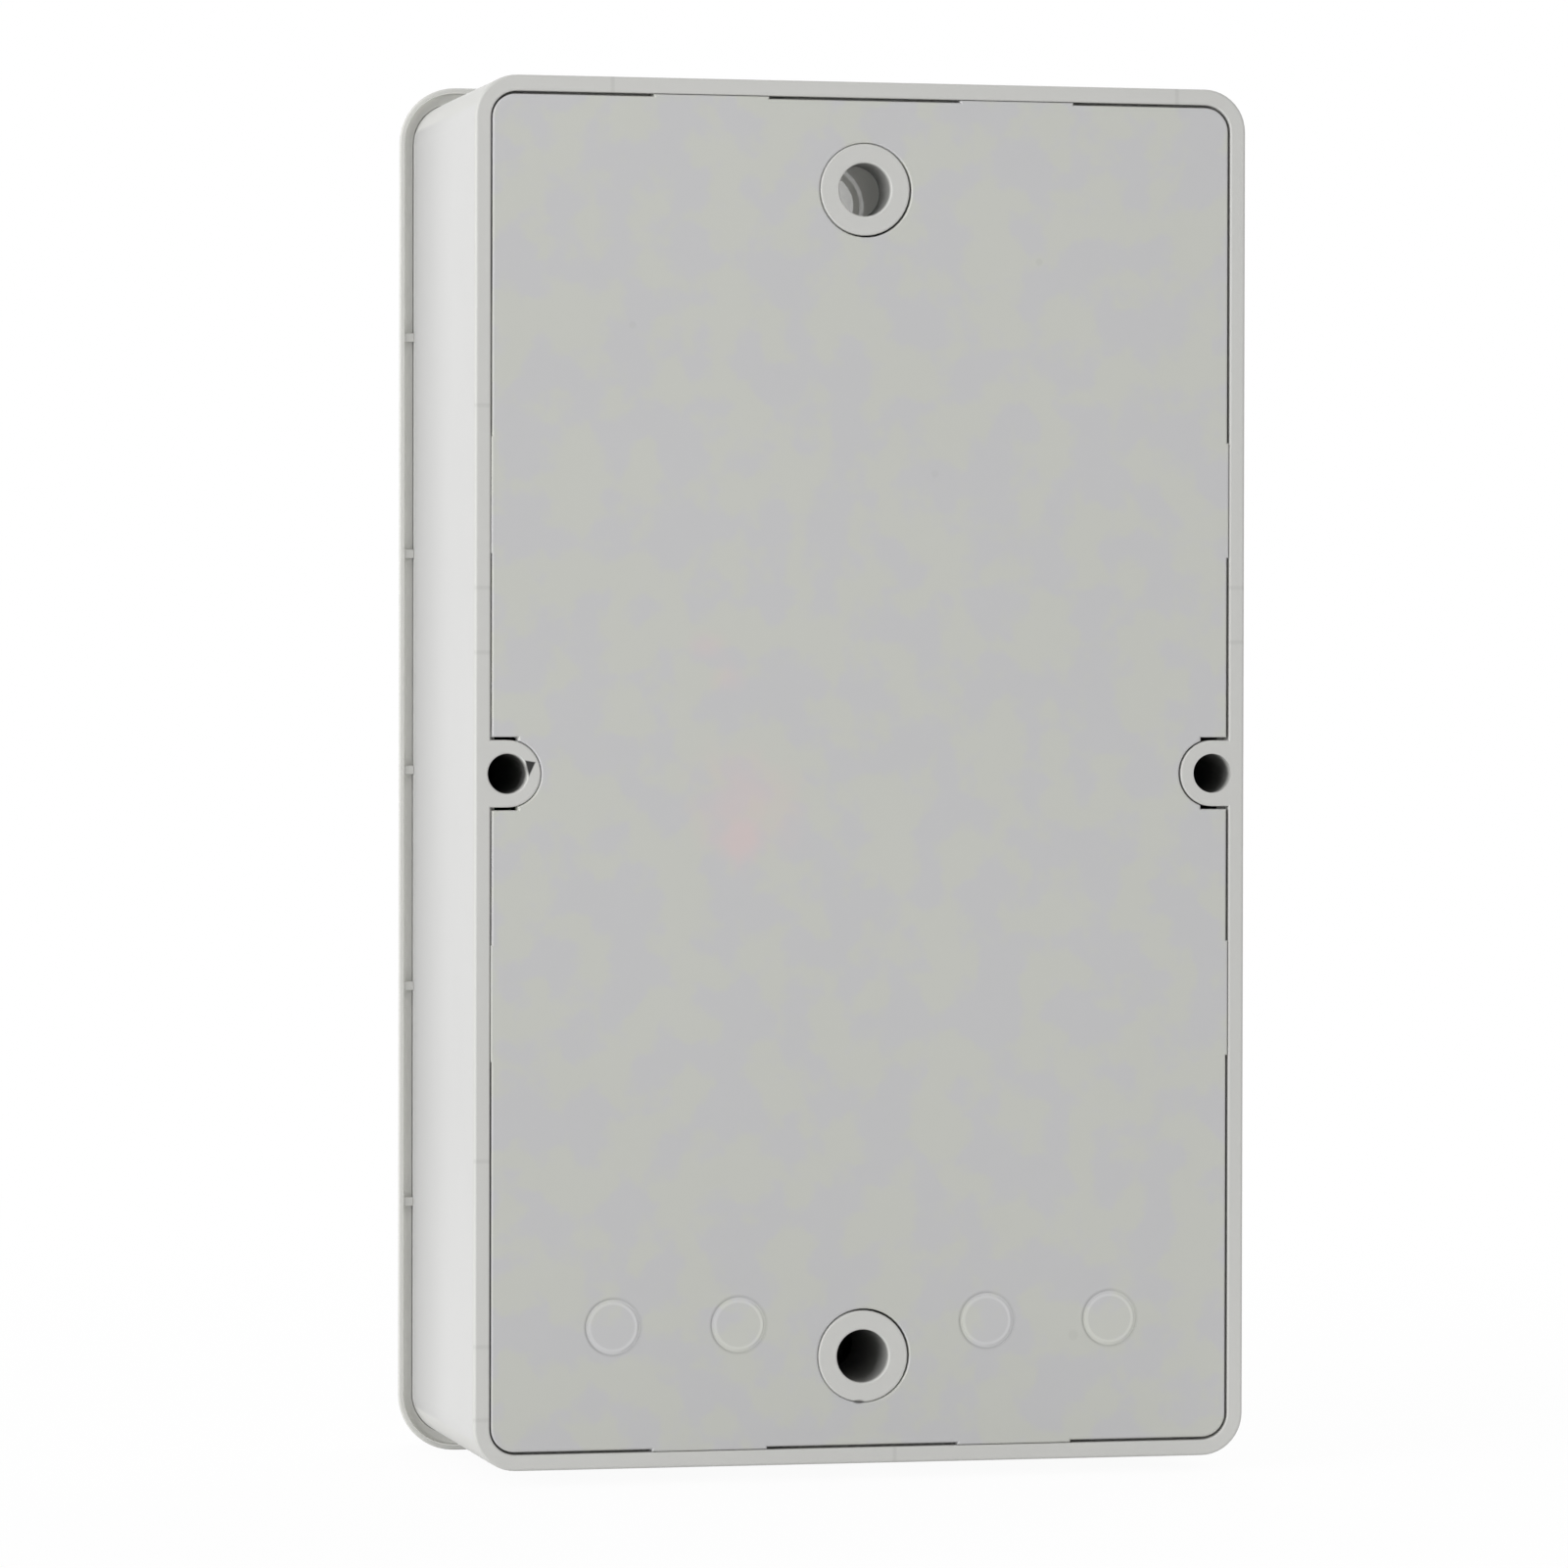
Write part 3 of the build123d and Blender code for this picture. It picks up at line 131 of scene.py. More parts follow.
class ShellSettings(bpy.types.PropertyGroup):
    """Moulded case, plate and cover."""
    case_colour: colour("Case", "moulded case", 192, 192, 189)
    # A touch paler than the case, which is partly painted light, and slightly cooler
    wall_colour: colour("Walls", "case's side walls", 193, 193, 192)
    plate_colour: colour("Plate", "snap-in rear plate", 186, 186, 187)
    warm_colour: colour("Warm", "plate's faint warmer patches", 188, 189, 183)
    stain_colour: colour("Stain", "faint stain on the plate", 205, 184, 182)
    cover_colour: colour("Cover", "front cover", 197, 197, 193)
    roughness: share("Roughness", "Roughness of the moulded faces", 0.55)
    blotch: share("Blotch", "Depth of the faint uneven tone", 0.015)


class KeySettings(bpy.types.PropertyGroup):
    """Keys, flap and their markings."""
    key_colour: colour("Keys", "override key", 108, 112, 115)
    boost_colour: colour("Boost", "boost key", 214, 118, 52)
    rubber_colour: colour("Rubber", "small keys", 128, 131, 133)
    black_colour: colour("Black", "black mouldings", 34, 35, 37)
    ink_colour: colour("Ink", "printed markings", 62, 64, 66)
    light_ink: colour("Light ink", "markings on dark keys", 235, 235, 232)
    ink_height: millimetres("Ink height", "Thickness of the printed markings", 0.02)


class DisplaySettings(bpy.types.PropertyGroup):
    """Liquid crystal display."""
    time: StringProperty(name="Time", description="Four figures shown on the display", default="1230")
    day: IntProperty(name="Day", description="Which of the seven day marks is filled", default=3, min=1,
                     max=7)
    figure_height: millimetres("Figure height", "Height of the large figures", 13.0)
    figure_width: millimetres("Figure width", "Width of one large figure", 7.0)
    figure_pitch: millimetres("Figure pitch", "From one large figure to the next", 10.0)
    bar_width: millimetres("Bar width", "Width of one bar of a figure", 1.3)
    bar_gap: millimetres("Bar gap", "Gap between neighbouring bars", 0.25)
    lean: share("Lean", "How far the figures lean to the right", 0.09)
    glass_colour: colour("Glass", "display", 172, 181, 160)
    bar_colour: colour("Bars", "display's figures", 38, 44, 42)
    mask_colour: colour("Mask", "border printed behind the lens", 60, 63, 66)
    mask_width: millimetres("Mask width", "Width of that border", 3.4)


class InsideSettings(bpy.types.PropertyGroup):
    """Boards, relay, terminals and fasteners."""
    board_colour: colour("Board", "boards", 24, 92, 52)
    track_colour: colour("Track", "tracks under the mask", 40, 122, 70)
    steel_colour: colour("Steel", "plated steel", 200, 200, 196)
    brass_colour: colour("Brass", "brass", 214, 184, 118)
    copper_colour: colour("Copper", "winding", 186, 98, 58)
    relay_colour: colour("Relay", "relay's case", 38, 66, 104)
    nylon_colour: colour("Nylon", "bobbin", 208, 204, 190)
    terminal_colour: colour("Terminals", "terminal blocks", 138, 140, 142)


class Amount:
    """A number that varies over a surface, used in plain sums.

    over and under give 1 or 0, and fold goes back and forth between 0 and a width.
    """

    def __init__(self, finish, socket):
        self.finish = finish
        self.socket = socket

    def sum(self, operation, *others):
        """One sum of this number and others, in this order."""
        inputs = dict(enumerate((self, *others)))
        return self.finish.amount("ShaderNodeMath", {"operation": operation}, inputs)

    def turned_sum(self, operation, other):
        """One sum of a plain number and this one."""
        return self.finish.amount("ShaderNodeMath", {"operation": operation}, {0: other, 1: self})

    __add__ = partialmethod(sum, "ADD")
    __radd__ = partialmethod(turned_sum, "ADD")
    __sub__ = partialmethod(sum, "SUBTRACT")
    __rsub__ = partialmethod(turned_sum, "SUBTRACT")
    __mul__ = partialmethod(sum, "MULTIPLY")
    __rmul__ = partialmethod(turned_sum, "MULTIPLY")
    __truediv__ = partialmethod(sum, "DIVIDE")
    __rtruediv__ = partialmethod(turned_sum, "DIVIDE")
    __pow__ = partialmethod(sum, "POWER")
    __neg__ = partialmethod(turned_sum, "SUBTRACT", 0)
    __abs__ = partialmethod(sum, "ABSOLUTE")
    least = partialmethod(sum, "MINIMUM")
    most = partialmethod(sum, "MAXIMUM")
    over = partialmethod(sum, "GREATER_THAN")
    under = partialmethod(sum, "LESS_THAN")
    fold = partialmethod(sum, "PINGPONG")

    def between(self, low, high):
        return self.over(low) * self.under(high)

    def rise(self, start, end):
        """0 before start, 1 after end and a smooth slope between."""
        settings = {"interpolation_type": "SMOOTHSTEP"}
        inputs = {"Value": self, "From Min": start, "From Max": end}
        return self.finish.amount("ShaderNodeMapRange", settings, inputs)

    def near(self, centre, half, soft):
        """1 within half of centre, and 0 from soft beyond that."""
        return 1 - abs(self - centre).rise(half, half + soft)


def largest(amounts):
    """The largest of several amounts."""
    return reduce(Amount.most, amounts)


class Nodes:
    """A tree of shader nodes, emptied first, and short ways to add to it."""

    def __init__(self, tree):
        self.tree = tree
        tree.nodes.clear()

    def node(self, kind, settings=None, inputs=None):
        """A node of one kind, with its settings made first and then its sockets."""
        made = self.tree.nodes.new(kind)
        for name, value in (settings or {}).items():
            setattr(made, name, value)
        for name, value in (inputs or {}).items():
            if isinstance(value, Amount):
                value = value.socket
            if isinstance(value, bpy.types.NodeSocket):
                self.tree.links.new(value, made.inputs[name])
            else:
                made.inputs[name].default_value = value
        return made

    def amount(self, kind, settings=None, inputs=None, output=0):
        return Amount(self, self.node(kind, settings, inputs).outputs[output])

    def watched(self):
        """1 for rays from the camera, from gloss and through clear parts, and 0 for soft light."""
        path = self.node("ShaderNodeLightPath").outputs
        rays = ("Is Camera Ray", "Is Glossy Ray", "Is Transmission Ray")
        return largest(Amount(self, path[ray]) for ray in rays)


class Finish(Nodes):
    """One procedural material and the nodes that it is made of."""

    def __init__(self, name):
        self.material = bpy.data.materials.new(name)
        self.material.use_nodes = True
        super().__init__(self.material.node_tree)
        place = self.node("ShaderNodeTexCoord")
        self.place = self.node("ShaderNodeVectorMath", {"operation": "SCALE"},
                               {0: place.outputs["Object"], "Scale": 1 / MM}).outputs[0]
        parts = self.node("ShaderNodeSeparateXYZ", {}, {0: self.place})
        self.x, self.y, self.z = (Amount(self, part) for part in parts.outputs)

    def noise(self, size, detail=2.0, place=None):
        """Soft noise from 0 to 1, whose lumps are about size millimetres across."""
        inputs = {"Vector": place or self.place, "Scale": 1 / size, "Detail": detail}
        return self.amount("ShaderNodeTexNoise", {}, inputs)

    def stretched(self, x, y, z):
        """The place, with each direction drawn out by its own factor."""
        return self.node("ShaderNodeVectorMath", {"operation": "DIVIDE"},
                         {0: self.place, 1: (x, y, z)}).outputs[0]

    def blend(self, factor, first, second):
        """Two colours mixed by a factor."""
        made = self.node("ShaderNodeMix", {"data_type": "RGBA"}, {0: factor, 6: first, 7: second})
        return made.outputs[2]

    def shade(self, paint, factor):
        """A colour made darker or lighter by a factor."""
        grey = self.node("ShaderNodeCombineXYZ", {}, {0: factor, 1: factor, 2: factor}).outputs[0]
        made = self.node("ShaderNodeMix", {"data_type": "RGBA", "blend_type": "MULTIPLY"},
                         {0: 1.0, 6: paint, 7: grey})
        return made.outputs[2]

    def relief(self, height, distance):
        """A bump from a height of 0 to 1, over a distance in millimetres."""
        inputs = {"Height": height, "Distance": distance * MM}
        return self.node("ShaderNodeBump", {}, inputs).outputs[0]

    def surface(self, **sockets):
        """The principled shader that ends the material, its sockets named with underscores."""
        inputs = {name.replace("_", " "): value for name, value in sockets.items()}
        shader = self.node("ShaderNodeBsdfPrincipled", {}, inputs)
        self.node("ShaderNodeOutputMaterial", {}, {"Surface": shader.outputs[0]})
        return self.material


def dress(nodes, material):
    """Every slot of the named nodes takes one material."""
    for node in nodes:
        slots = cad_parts[node].material_slots
        for place in slots:
            place.material = material


def middle(node):
    """The middle of a CAD node, in millimetres."""
    low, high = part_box(node)
    return [(a + b) / 2 / MM for a, b in zip(low, high)]


def reach(node):
    """A CAD node's lowest and highest x, y and z, in millimetres."""
    low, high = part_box(node)
    return [(a / MM, b / MM) for a, b in zip(low, high)]


def front_depth(node):
    """How far a CAD node's front lies from the wall, in millimetres."""
    return -reach(node)[1][0]


def moulded(name, paint, roughness, blotch=0.02, grain=0.006, marks=None):
    """Moulded plastic: an uneven tone, a fine spark-eroded grain and a soft gloss that varies."""
    finish = Finish(name)
    height = finish.noise(GRAIN_SIZE, 3.0)
    factor = 1 + (finish.noise(BLOTCH_SIZE) - 0.5) * (2 * blotch)
    gloss = roughness + (finish.noise(GLOSS_SIZE) - 0.5) * GLOSS_SPREAD
    if marks:
        paint, factor, gloss = marks(finish, paint, factor, gloss)
    return finish.surface(Base_Color=finish.shade(paint, factor), Roughness=gloss, IOR=1.5,
                          Normal=finish.relief(height, grain))


def metal(name, paint, roughness, streak=0.12, lines=(1.0, 8.0, 1.0)):
    """Plated metal with fine drawing lines and a patchy roughness."""
    finish = Finish(name)
    drawn = finish.noise(0.12, 3.0, finish.stretched(*lines))
    patch = finish.noise(2.5)
    factor = 0.9 + drawn * 0.12 + patch * 0.08
    gloss = roughness + (drawn - 0.5) * streak + (patch - 0.5) * 0.1
    return finish.surface(Base_Color=finish.shade(paint, factor), Roughness=gloss, Metallic=1.0,
                          Normal=finish.relief(drawn, 0.004))


class TIMER_OT_stage(bpy.types.Operator):
    """Add the floor, the lamps, the world and the camera"""
    bl_idname = "timer.stage"
    bl_label = "Studio"

    def execute(self, context):
        settings = context.scene.timer_studio
        add_camera(context, settings)
        add_floor(context, settings)
        add_world(context, settings)
        add_lamp(context, "key_lamp", settings.key_power, *KEY_LAMP)
        add_lamp(context, "fill_lamp", settings.fill_power, *FILL_LAMP)
        context.scene.view_settings.view_transform = "Standard"
        return {"FINISHED"}


def set_place(thing, axes, place):
    """Puts a camera or lamp at a place, with its own three axes along the given directions."""
    rows = np.eye(4)
    rows[:3, :3] = np.array(axes).T
    rows[:3, 3] = place
    thing.matrix_world = Matrix(rows.tolist())


def add_camera(context, settings):
    """A camera that looks at the rear face from the side of +X.

    Its three axes are the picture's right, the picture's up and the way back to the camera. The
    object's middle lies at the given distance along the last, and aside and above along the others.
    """
    turn, rise, roll = settings.turn, settings.rise, settings.roll
    right = np.array((-math.cos(turn), math.sin(turn), 0.0))
    back = np.array((math.sin(turn) * math.cos(rise), math.cos(turn) * math.cos(rise), math.sin(rise)))
    up = np.cross(back, right)
    rolled_right = math.cos(roll) * right - math.sin(roll) * up
    rolled_up = math.sin(roll) * right + math.cos(roll) * up
    place = settings.distance * back - settings.aside * rolled_right - settings.above * rolled_up
    lens = bpy.data.cameras.new("camera")
    lens.sensor_width = SENSOR
    lens.lens = settings.scale * settings.distance / MM / settings.picture * SENSOR
    lens.clip_start = NEAR_LIMIT
    camera = bpy.data.objects.new("camera", lens)
    context.scene.collection.objects.link(camera)
    set_place(camera, (rolled_right, rolled_up, back), place)
    context.scene.camera = camera


def plain_mesh(name, points, faces):
    """A mesh object from arrays of points and of faces."""
    mesh = bpy.data.meshes.new(name)
    mesh.from_pydata(np.asarray(points, float).reshape(-1, 3).tolist(), [],
                     [list(map(int, face)) for face in faces])
    mesh.update()
    piece = bpy.data.objects.new(name, mesh)
    bpy.context.scene.collection.objects.link(piece)
    return piece


def grid_faces(rows, columns, offset=0):
    """The four-sided faces of a grid of rows by columns of points."""
    first = np.arange((rows - 1) * columns).reshape(rows - 1, columns)[:, :-1].ravel() + offset
    return np.stack((first, first + 1, first + columns + 1, first + columns), 1)


def add_floor(context, settings):
    """A level floor at the foot of the object, a square grid of points."""
    steps = np.linspace(-FLOOR_HALF, FLOOR_HALF, 9)
    x, y = np.meshgrid(steps, steps)
    points = np.stack((x, y, np.full_like(x, cad_box[0].z)), -1)
    floor = plain_mesh("floor", points, grid_faces(len(steps), len(steps)))
    finish = Finish("floor_paper")
    away = (finish.x ** 2 + finish.y ** 2) ** 0.5
    seen = settings.shadow * (1 - away.rise(*SHADE_FADE))
    paper = finish.node("ShaderNodeBsdfDiffuse", {}, {"Color": tone(248, 248, 248)})
    glow = finish.node("ShaderNodeEmission", {}, {"Color": tone(255, 255, 255), "Strength": 1.0})
    mixed = finish.node("ShaderNodeMixShader", {}, {
        0: finish.watched() * (1 - seen), 1: paper.outputs[0], 2: glow.outputs[0]})
    finish.node("ShaderNodeOutputMaterial", {}, {"Surface": mixed.outputs[0]})
    floor.data.materials.append(finish.material)


def add_world(context, settings):
    """White to the camera and in gloss, and an even soft light to everything else."""
    world = bpy.data.worlds.new("studio")
    world.use_nodes = True
    sky = Nodes(world.node_tree)
    strength = sky.amount("ShaderNodeMapRange", {}, {"Value": sky.watched(), "To Min": settings.ambient})
    light = sky.node("ShaderNodeBackground", {}, {"Strength": strength, "Color": tone(255, 255, 255)})
    sky.node("ShaderNodeOutputWorld", {}, {"Surface": light.outputs[0]})
    context.scene.world = world


def add_lamp(context, name, power, size, place):
    """A square area lamp that faces the object's middle."""
    lamp = bpy.data.lights.new(name, "AREA")
    lamp.energy = power
    lamp.size = size
    holder = bpy.data.objects.new(name, lamp)
    context.scene.collection.objects.link(holder)
    back = np.array(place) / np.linalg.norm(place)
    right = np.cross((0, 0, 1), back)
    right /= np.linalg.norm(right)
    up = np.cross(back, right)
    set_place(holder, (right, up, back), place)


# Sizes of the moulded shells, in millimetres, from the middle between the two fixings

CASE_CORNER = 4.4
LIP_DEPTH = 36.3
GROOVE_WIDTH = 1.05
GROOVE_FLOOR = (0.6, 1.2)
LIP_EDGE = (0.01, 0.25)
RIB_DEPTHS = (0.15, 0.6)
RIM_DEPTH = 0.4
BOSS_X = 37.43
BOSS_BORE = 2.05
BOSS_RADIUS = 3.55
FIXING_Z = 60.3
TUBE_RADIUS = 4.75
TUBE_BORE = 2.75
WELL_START = 5.3
WELL_RADIUS = 5.3
PLATE_EDGE = 39.02
KNOCKOUT_PITCH = 13.2
KNOCKOUT_Z = -56.8
KNOCKOUT_RADIUS = 2.54

# Places of the faint marks, in the same millimetres. A tick has its side and its place along the edge, and
# a spot its x, z, radius and strength

SIDE_TICKS = ((1, 37.6), (1, 19.0), (1, 12.4), (1, -39.6), (1, -58.6), (1, -66.1), (-1, 19.4), (-1, 13.7))
END_TICKS = ((1, 26.6), (1, -33.4), (-1, -3.4))
TICK_WIDTH = 0.16
TICK_SOFT = 0.25
TICK_LENGTH = 1.8
STAINS = ((12.5, -6.6, 3.6, 0.45), (12.7, -3.2, 8.0, 0.36), (16.6, 13.2, 2.6, 0.28),
          (14.4, 10.0, 2.6, 0.26))
SPECKS = ((-18.6, 53.1, 0.5, 0.06), (24.5, 46.0, 0.5, 0.05), (-22.5, -58.5, 0.7, 0.05),
          (-7.5, 31.0, 0.5, 0.04))
PATCH_SIZE = 5.5
NICK = ((1.82, 1.35), (2.86, 1.18), (2.2, -0.24))
SMUDGE = (0.45, -65.0)
SMUDGE_STRETCH = (0.45, 0.07)
CRESCENT = (-4.55, -1.8)
CRESCENT_RADIUS = (3.45, 3.65)
BAND_RADIUS = 4.42
DISC_EDGE = (2.3, 2.5)
RING_STEP = 0.42
SIGHT = (0.227, 0.073)
WALL_SKIN = (0.3, 0.1)
WALL_START = (0.5, 1.2)
SHADE_LENGTH = 23.0
FOOT = (30, 71)
SEAM_START = (0.14, 0.24)
SEAM_END = 2.1
SEAM_WAY = (0.8, 0.6)
SEAM_FADE = (0.5, 3.5)
BOSS_SEAM = (37.0, 3.5)
WALL_SEAM = (12, 34, 6)

# How much darker, paler or glossier a mark is than the plastic round it, as a share. The shade of the
# walls and bores, the nick's shadow, the light in the well, seams, groove and near the foot, the lip
# edge's highlight and the knock-outs' light and shade are painted

TICK_DARK = 0.09
WALL_PAINTED_SHADE = 0.22
INNER_PAINTED_LIGHT = 0.15
FOOT_PAINTED_LIGHT = 0.05
BOSS_PAINTED_SHADE = 0.7
BORE_PAINTED_SHADE = 0.48
NICK_PAINTED_SHADOW = 0.98
SMUDGE_DARK = 0.62
FLOOR_PAINTED_LIGHT = 0.2
FLOOR_SLOPE = 0.35
EDGE_PAINTED_HIGHLIGHT = 0.5
LIP_PALE = 0.08
RIB_DARK = 0.15
WELL_PAINTED_LIGHT = 0.75
CRESCENT_PAINTED_LIGHT = 0.1
BAND_PAINTED_LIGHT = 0.05
CRESCENT_GLOSS = 0.44
BAND_GLOSS = 0.23
SEAM_PAINTED_LIGHT = 0.75
DISC_PALE = 0.15
RING_PAINTED_HIGHLIGHT = 0.15
RING_PAINTED_SHADE = 0.08


def from_outline(finish, step):
    """How far a place lies outside the case's outline, moved out by a step.

    The outline is a rectangle with round corners: past the corners' centres along X and Z, the
    distance is the length of those two steps, less the corner's radius.
    """
    (_, x_high), _, (_, z_high) = reach("body")
    across = (abs(finish.x) - (x_high - CASE_CORNER)).most(0)
    up = (abs(finish.z) - (z_high - CASE_CORNER)).most(0)
    return (across ** 2 + up ** 2) ** 0.5 - (CASE_CORNER + step)


def from_point(finish, x, z):
    """How far a place lies from one point of the rear face."""
    return ((finish.x - x) ** 2 + (finish.z - z) ** 2) ** 0.5


def case_marks(settings):
    """Cooler, slightly paler walls with painted shade towards the groove and painted light past the lip,
    painted shade in the bores, a painted shadow of a nick, painted light in the upper well, in the seams
    and near the foot, a smudge and mould ticks.
    """
    (_, x_high), _, (_, z_high) = reach("body")

    def marks(finish, paint, factor, gloss):
        depth = -finish.y
        under, whole = WALL_SKIN
        side = abs(finish.x).rise(x_high - under, x_high - whole)
        end = abs(finish.z).rise(z_high - under, z_high - whole)
        wall = side.most(end)
        # The walls' colour is a touch paler than the case's, which is partly painted light, and slightly
        # cooler
        paint = finish.blend(wall * depth.rise(*WALL_START), paint, settings.wall_colour)
        # Painted light on the walls past the lip, inside the groove, and painted shade on the walls that
        # deepens towards the groove
        inner = depth.over(LIP_DEPTH) * wall
        dark = depth.rise(LIP_DEPTH - SHADE_LENGTH, LIP_DEPTH) * wall - inner
        factor = factor * (1 - dark * WALL_PAINTED_SHADE) * (1 + inner * INNER_PAINTED_LIGHT)
        # Painted shade in the screw bores of the side bosses, deeper inwards
        boss = from_point(finish, BOSS_X, 0).least(from_point(finish, -BOSS_X, 0))
        bore = boss.under(BOSS_BORE + 0.1) * depth.rise(0.2, 2.0)
        factor = factor * (1 - bore * BOSS_PAINTED_SHADE) * (1 - nick_shadow(finish) * NICK_PAINTED_SHADOW)
        shade, shine = well_painted_light(finish, depth)
        factor = factor * shade * seam_painted_light(finish, depth)
        # Painted light towards the foot, where the floor shades the case
        factor = factor * (1 + (-finish.z).rise(*FOOT) * FOOT_PAINTED_LIGHT) * (1 - smudge(finish))
        factor = factor * (1 - rim_ticks(finish, x_high, z_high) * depth.under(RIM_DEPTH) * TICK_DARK)
        return paint, factor, gloss - shine
    return marks


def rim_ticks(finish, x_high, z_high):
    """Short lines across the rim, where the mould parts."""
    half = TICK_WIDTH / 2
    sides = [finish.z.near(z, half, TICK_SOFT) * (finish.x * way).over(x_high - TICK_LENGTH)
             for way, z in SIDE_TICKS]
    ends = [finish.x.near(x, half, TICK_SOFT) * (finish.z * way).over(z_high - TICK_LENGTH)
            for way, x in END_TICKS]
    return largest(sides + ends)


def cover_marks(finish, paint, factor, gloss):
    """Painted light on the groove's floor, paler towards the outer side, a painted highlight along the
    lip's edge, a paler lip face and darker ribs across the groove.
    """
    away = from_outline(finish, GROOVE_WIDTH)
    depth = -finish.y - LIP_DEPTH
    floor = depth.between(*GROOVE_FLOOR) * away.under(0.25)
    floor = floor * (FLOOR_PAINTED_LIGHT + away.rise(-0.75, 0.05) * FLOOR_SLOPE)
    edge = depth.between(*LIP_EDGE) * away.near(0.1, 0.1, 0.05) * EDGE_PAINTED_HIGHLIGHT
    rib = depth.between(*RIB_DEPTHS) * away.under(-0.05) * RIB_DARK
    lip = abs(depth).under(0.06) * away.over(0.05) * LIP_PALE
    return paint, factor * (1 + floor + edge + lip - rib), gloss


def well_painted_light(finish, depth):
    """Painted shade in the tube bores, and painted light on the upper well's wall: the whole wall paler,
    with a bright crescent and band that stand in for light from the open front, as seen through the bore
    from behind.

    Both are rings about a point that moves aside with the depth, along the line of sight.
    """
    upper = from_point(finish, 0, FIXING_Z)
    lower = from_point(finish, 0, -FIXING_Z)
    bore = upper.least(lower).under(TUBE_BORE + 0.1) * depth.rise(0.2, 1.0)
    well = upper.under(WELL_RADIUS + 0.2) * depth.over(WELL_START + 0.2)
    across = -finish.x - depth * SIGHT[0]
    up = finish.z - FIXING_Z - depth * SIGHT[1]
    away = ((across - CRESCENT[0]) ** 2 + (up - CRESCENT[1]) ** 2) ** 0.5
    crescent = 1 - away.rise(*CRESCENT_RADIUS)
    band = away.near(BAND_RADIUS, 0.16, 0.14)
    pale = WELL_PAINTED_LIGHT + crescent * CRESCENT_PAINTED_LIGHT + band * BAND_PAINTED_LIGHT
    shine = crescent * CRESCENT_GLOSS + band * BAND_GLOSS
    return (1 - bore * BORE_PAINTED_SHADE) * (1 + well * pale), well * shine


def seam_painted_light(finish, depth):
    """Painted light: paler walls inside the seams that show little, standing in for light that reaches
    into them.
    """
    rings = []
    for up in (-1, 1):
        ring = from_point(finish, 0, up * FIXING_Z).near(TUBE_RADIUS + 0.15, 0.25, 0.05)
        turn = -finish.x * SEAM_WAY[0] - (finish.z * up - FIXING_Z) * SEAM_WAY[1]
        rings.append(ring * (1 - turn.rise(*SEAM_FADE)))
    boss = from_point(finish, BOSS_X, 0).near(BOSS_RADIUS, 0.35, 0.05) * finish.x.near(*BOSS_SEAM, 0.05)
    wall = finish.x.between(PLATE_EDGE, PLATE_EDGE + 0.3) * finish.z.near(*WALL_SEAM)
    inside = depth.rise(*SEAM_START) * depth.under(SEAM_END)
    return 1 + largest([*rings, boss, wall]) * inside * SEAM_PAINTED_LIGHT


def smudge(finish):
    """A flat dark smudge at the foot of the lower tube's ring."""
    (x, z), (wide, tall) = SMUDGE, SMUDGE_STRETCH
    away = ((finish.x - x) ** 2 / wide + (finish.z - z) ** 2 / tall) ** 0.5
    return (1 - away.rise(0.4, 1.1)) * finish.y.over(-0.25) * SMUDGE_DARK


def nick_shadow(finish):
    """A painted near-black shadow of a small three-cornered nick beside the screw hole on the side of +X.

    A place is in it where it lies to the inner side of each edge, as a line's equation says.
    """
    depths = []
    for (across, up), (next_across, next_up) in zip(NICK, NICK[1:] + NICK[:1]):
        run, rise = next_across - across, next_up - up
        length = math.hypot(run, rise)
        sideways = (BOSS_X - finish.x - across) * (rise / length)
        depths.append(sideways - (finish.z - up) * (run / length))
    return reduce(Amount.least, depths).rise(-0.1, 0.08) * finish.y.over(-0.25)


def plate_marks(settings):
    """Faint warm patches, a faint stain, specks, and a painted highlight on each knock-out's ring, a paler
    disc inside it and painted shade just outside it.
    """
    def marks(finish, paint, factor, gloss):
        patch = finish.noise(PATCH_SIZE, 3.0).rise(0.44, 0.56)
        paint = finish.blend(patch, paint, settings.warm_colour)
        for x, z, radius, depth in STAINS:
            away = from_point(finish, x, z) + (finish.noise(3.0) - 0.5) * radius
            paint = finish.blend((1 - away.rise(0, radius)) * depth, paint, settings.stain_colour)
        for x, z, radius, dark in SPECKS:
            factor = factor * (1 - (1 - from_point(finish, x, z).rise(radius / 2, radius)) * dark)
        # The knock-outs are thin moulded rings: the paler ring is a painted highlight, and the darker ring
        # outside it is painted shade
        rings = [from_point(finish, step * KNOCKOUT_PITCH, KNOCKOUT_Z) for step in (-2, -1, 1, 2)]
        pale = largest(away.near(KNOCKOUT_RADIUS, 0.14, 0.2) + (1 - away.rise(*DISC_EDGE)) * DISC_PALE
                       for away in rings)
        dark = largest(away.near(KNOCKOUT_RADIUS + RING_STEP, 0.06, 0.16) for away in rings)
        rear = finish.y.over(-0.3)
        factor = factor * seam_painted_light(finish, -finish.y) * (1 - smudge(finish))
        return paint, factor * (1 + rear * (pale * RING_PAINTED_HIGHLIGHT - dark * RING_PAINTED_SHADE)), gloss
    return marks


class TIMER_OT_shells(bpy.types.Operator):
    """Finish the case, the rear plate and the covers"""
    bl_idname = "timer.shells"
    bl_label = "Case and covers"

    def execute(self, context):
        settings = context.scene.timer_shells
        for name, nodes, paint, marks in (
                ("case_plastic", ["body"], settings.case_colour, case_marks(settings)),
                ("plate_plastic", ["rear_plate"], settings.plate_colour, plate_marks(settings)),
                ("cover_plastic", ["front_cover", "terminal_cover", "flap"], settings.cover_colour,
                 cover_marks)):
            dress(nodes, moulded(name, paint, settings.roughness, settings.blotch, marks=marks))
        return {"FINISHED"}


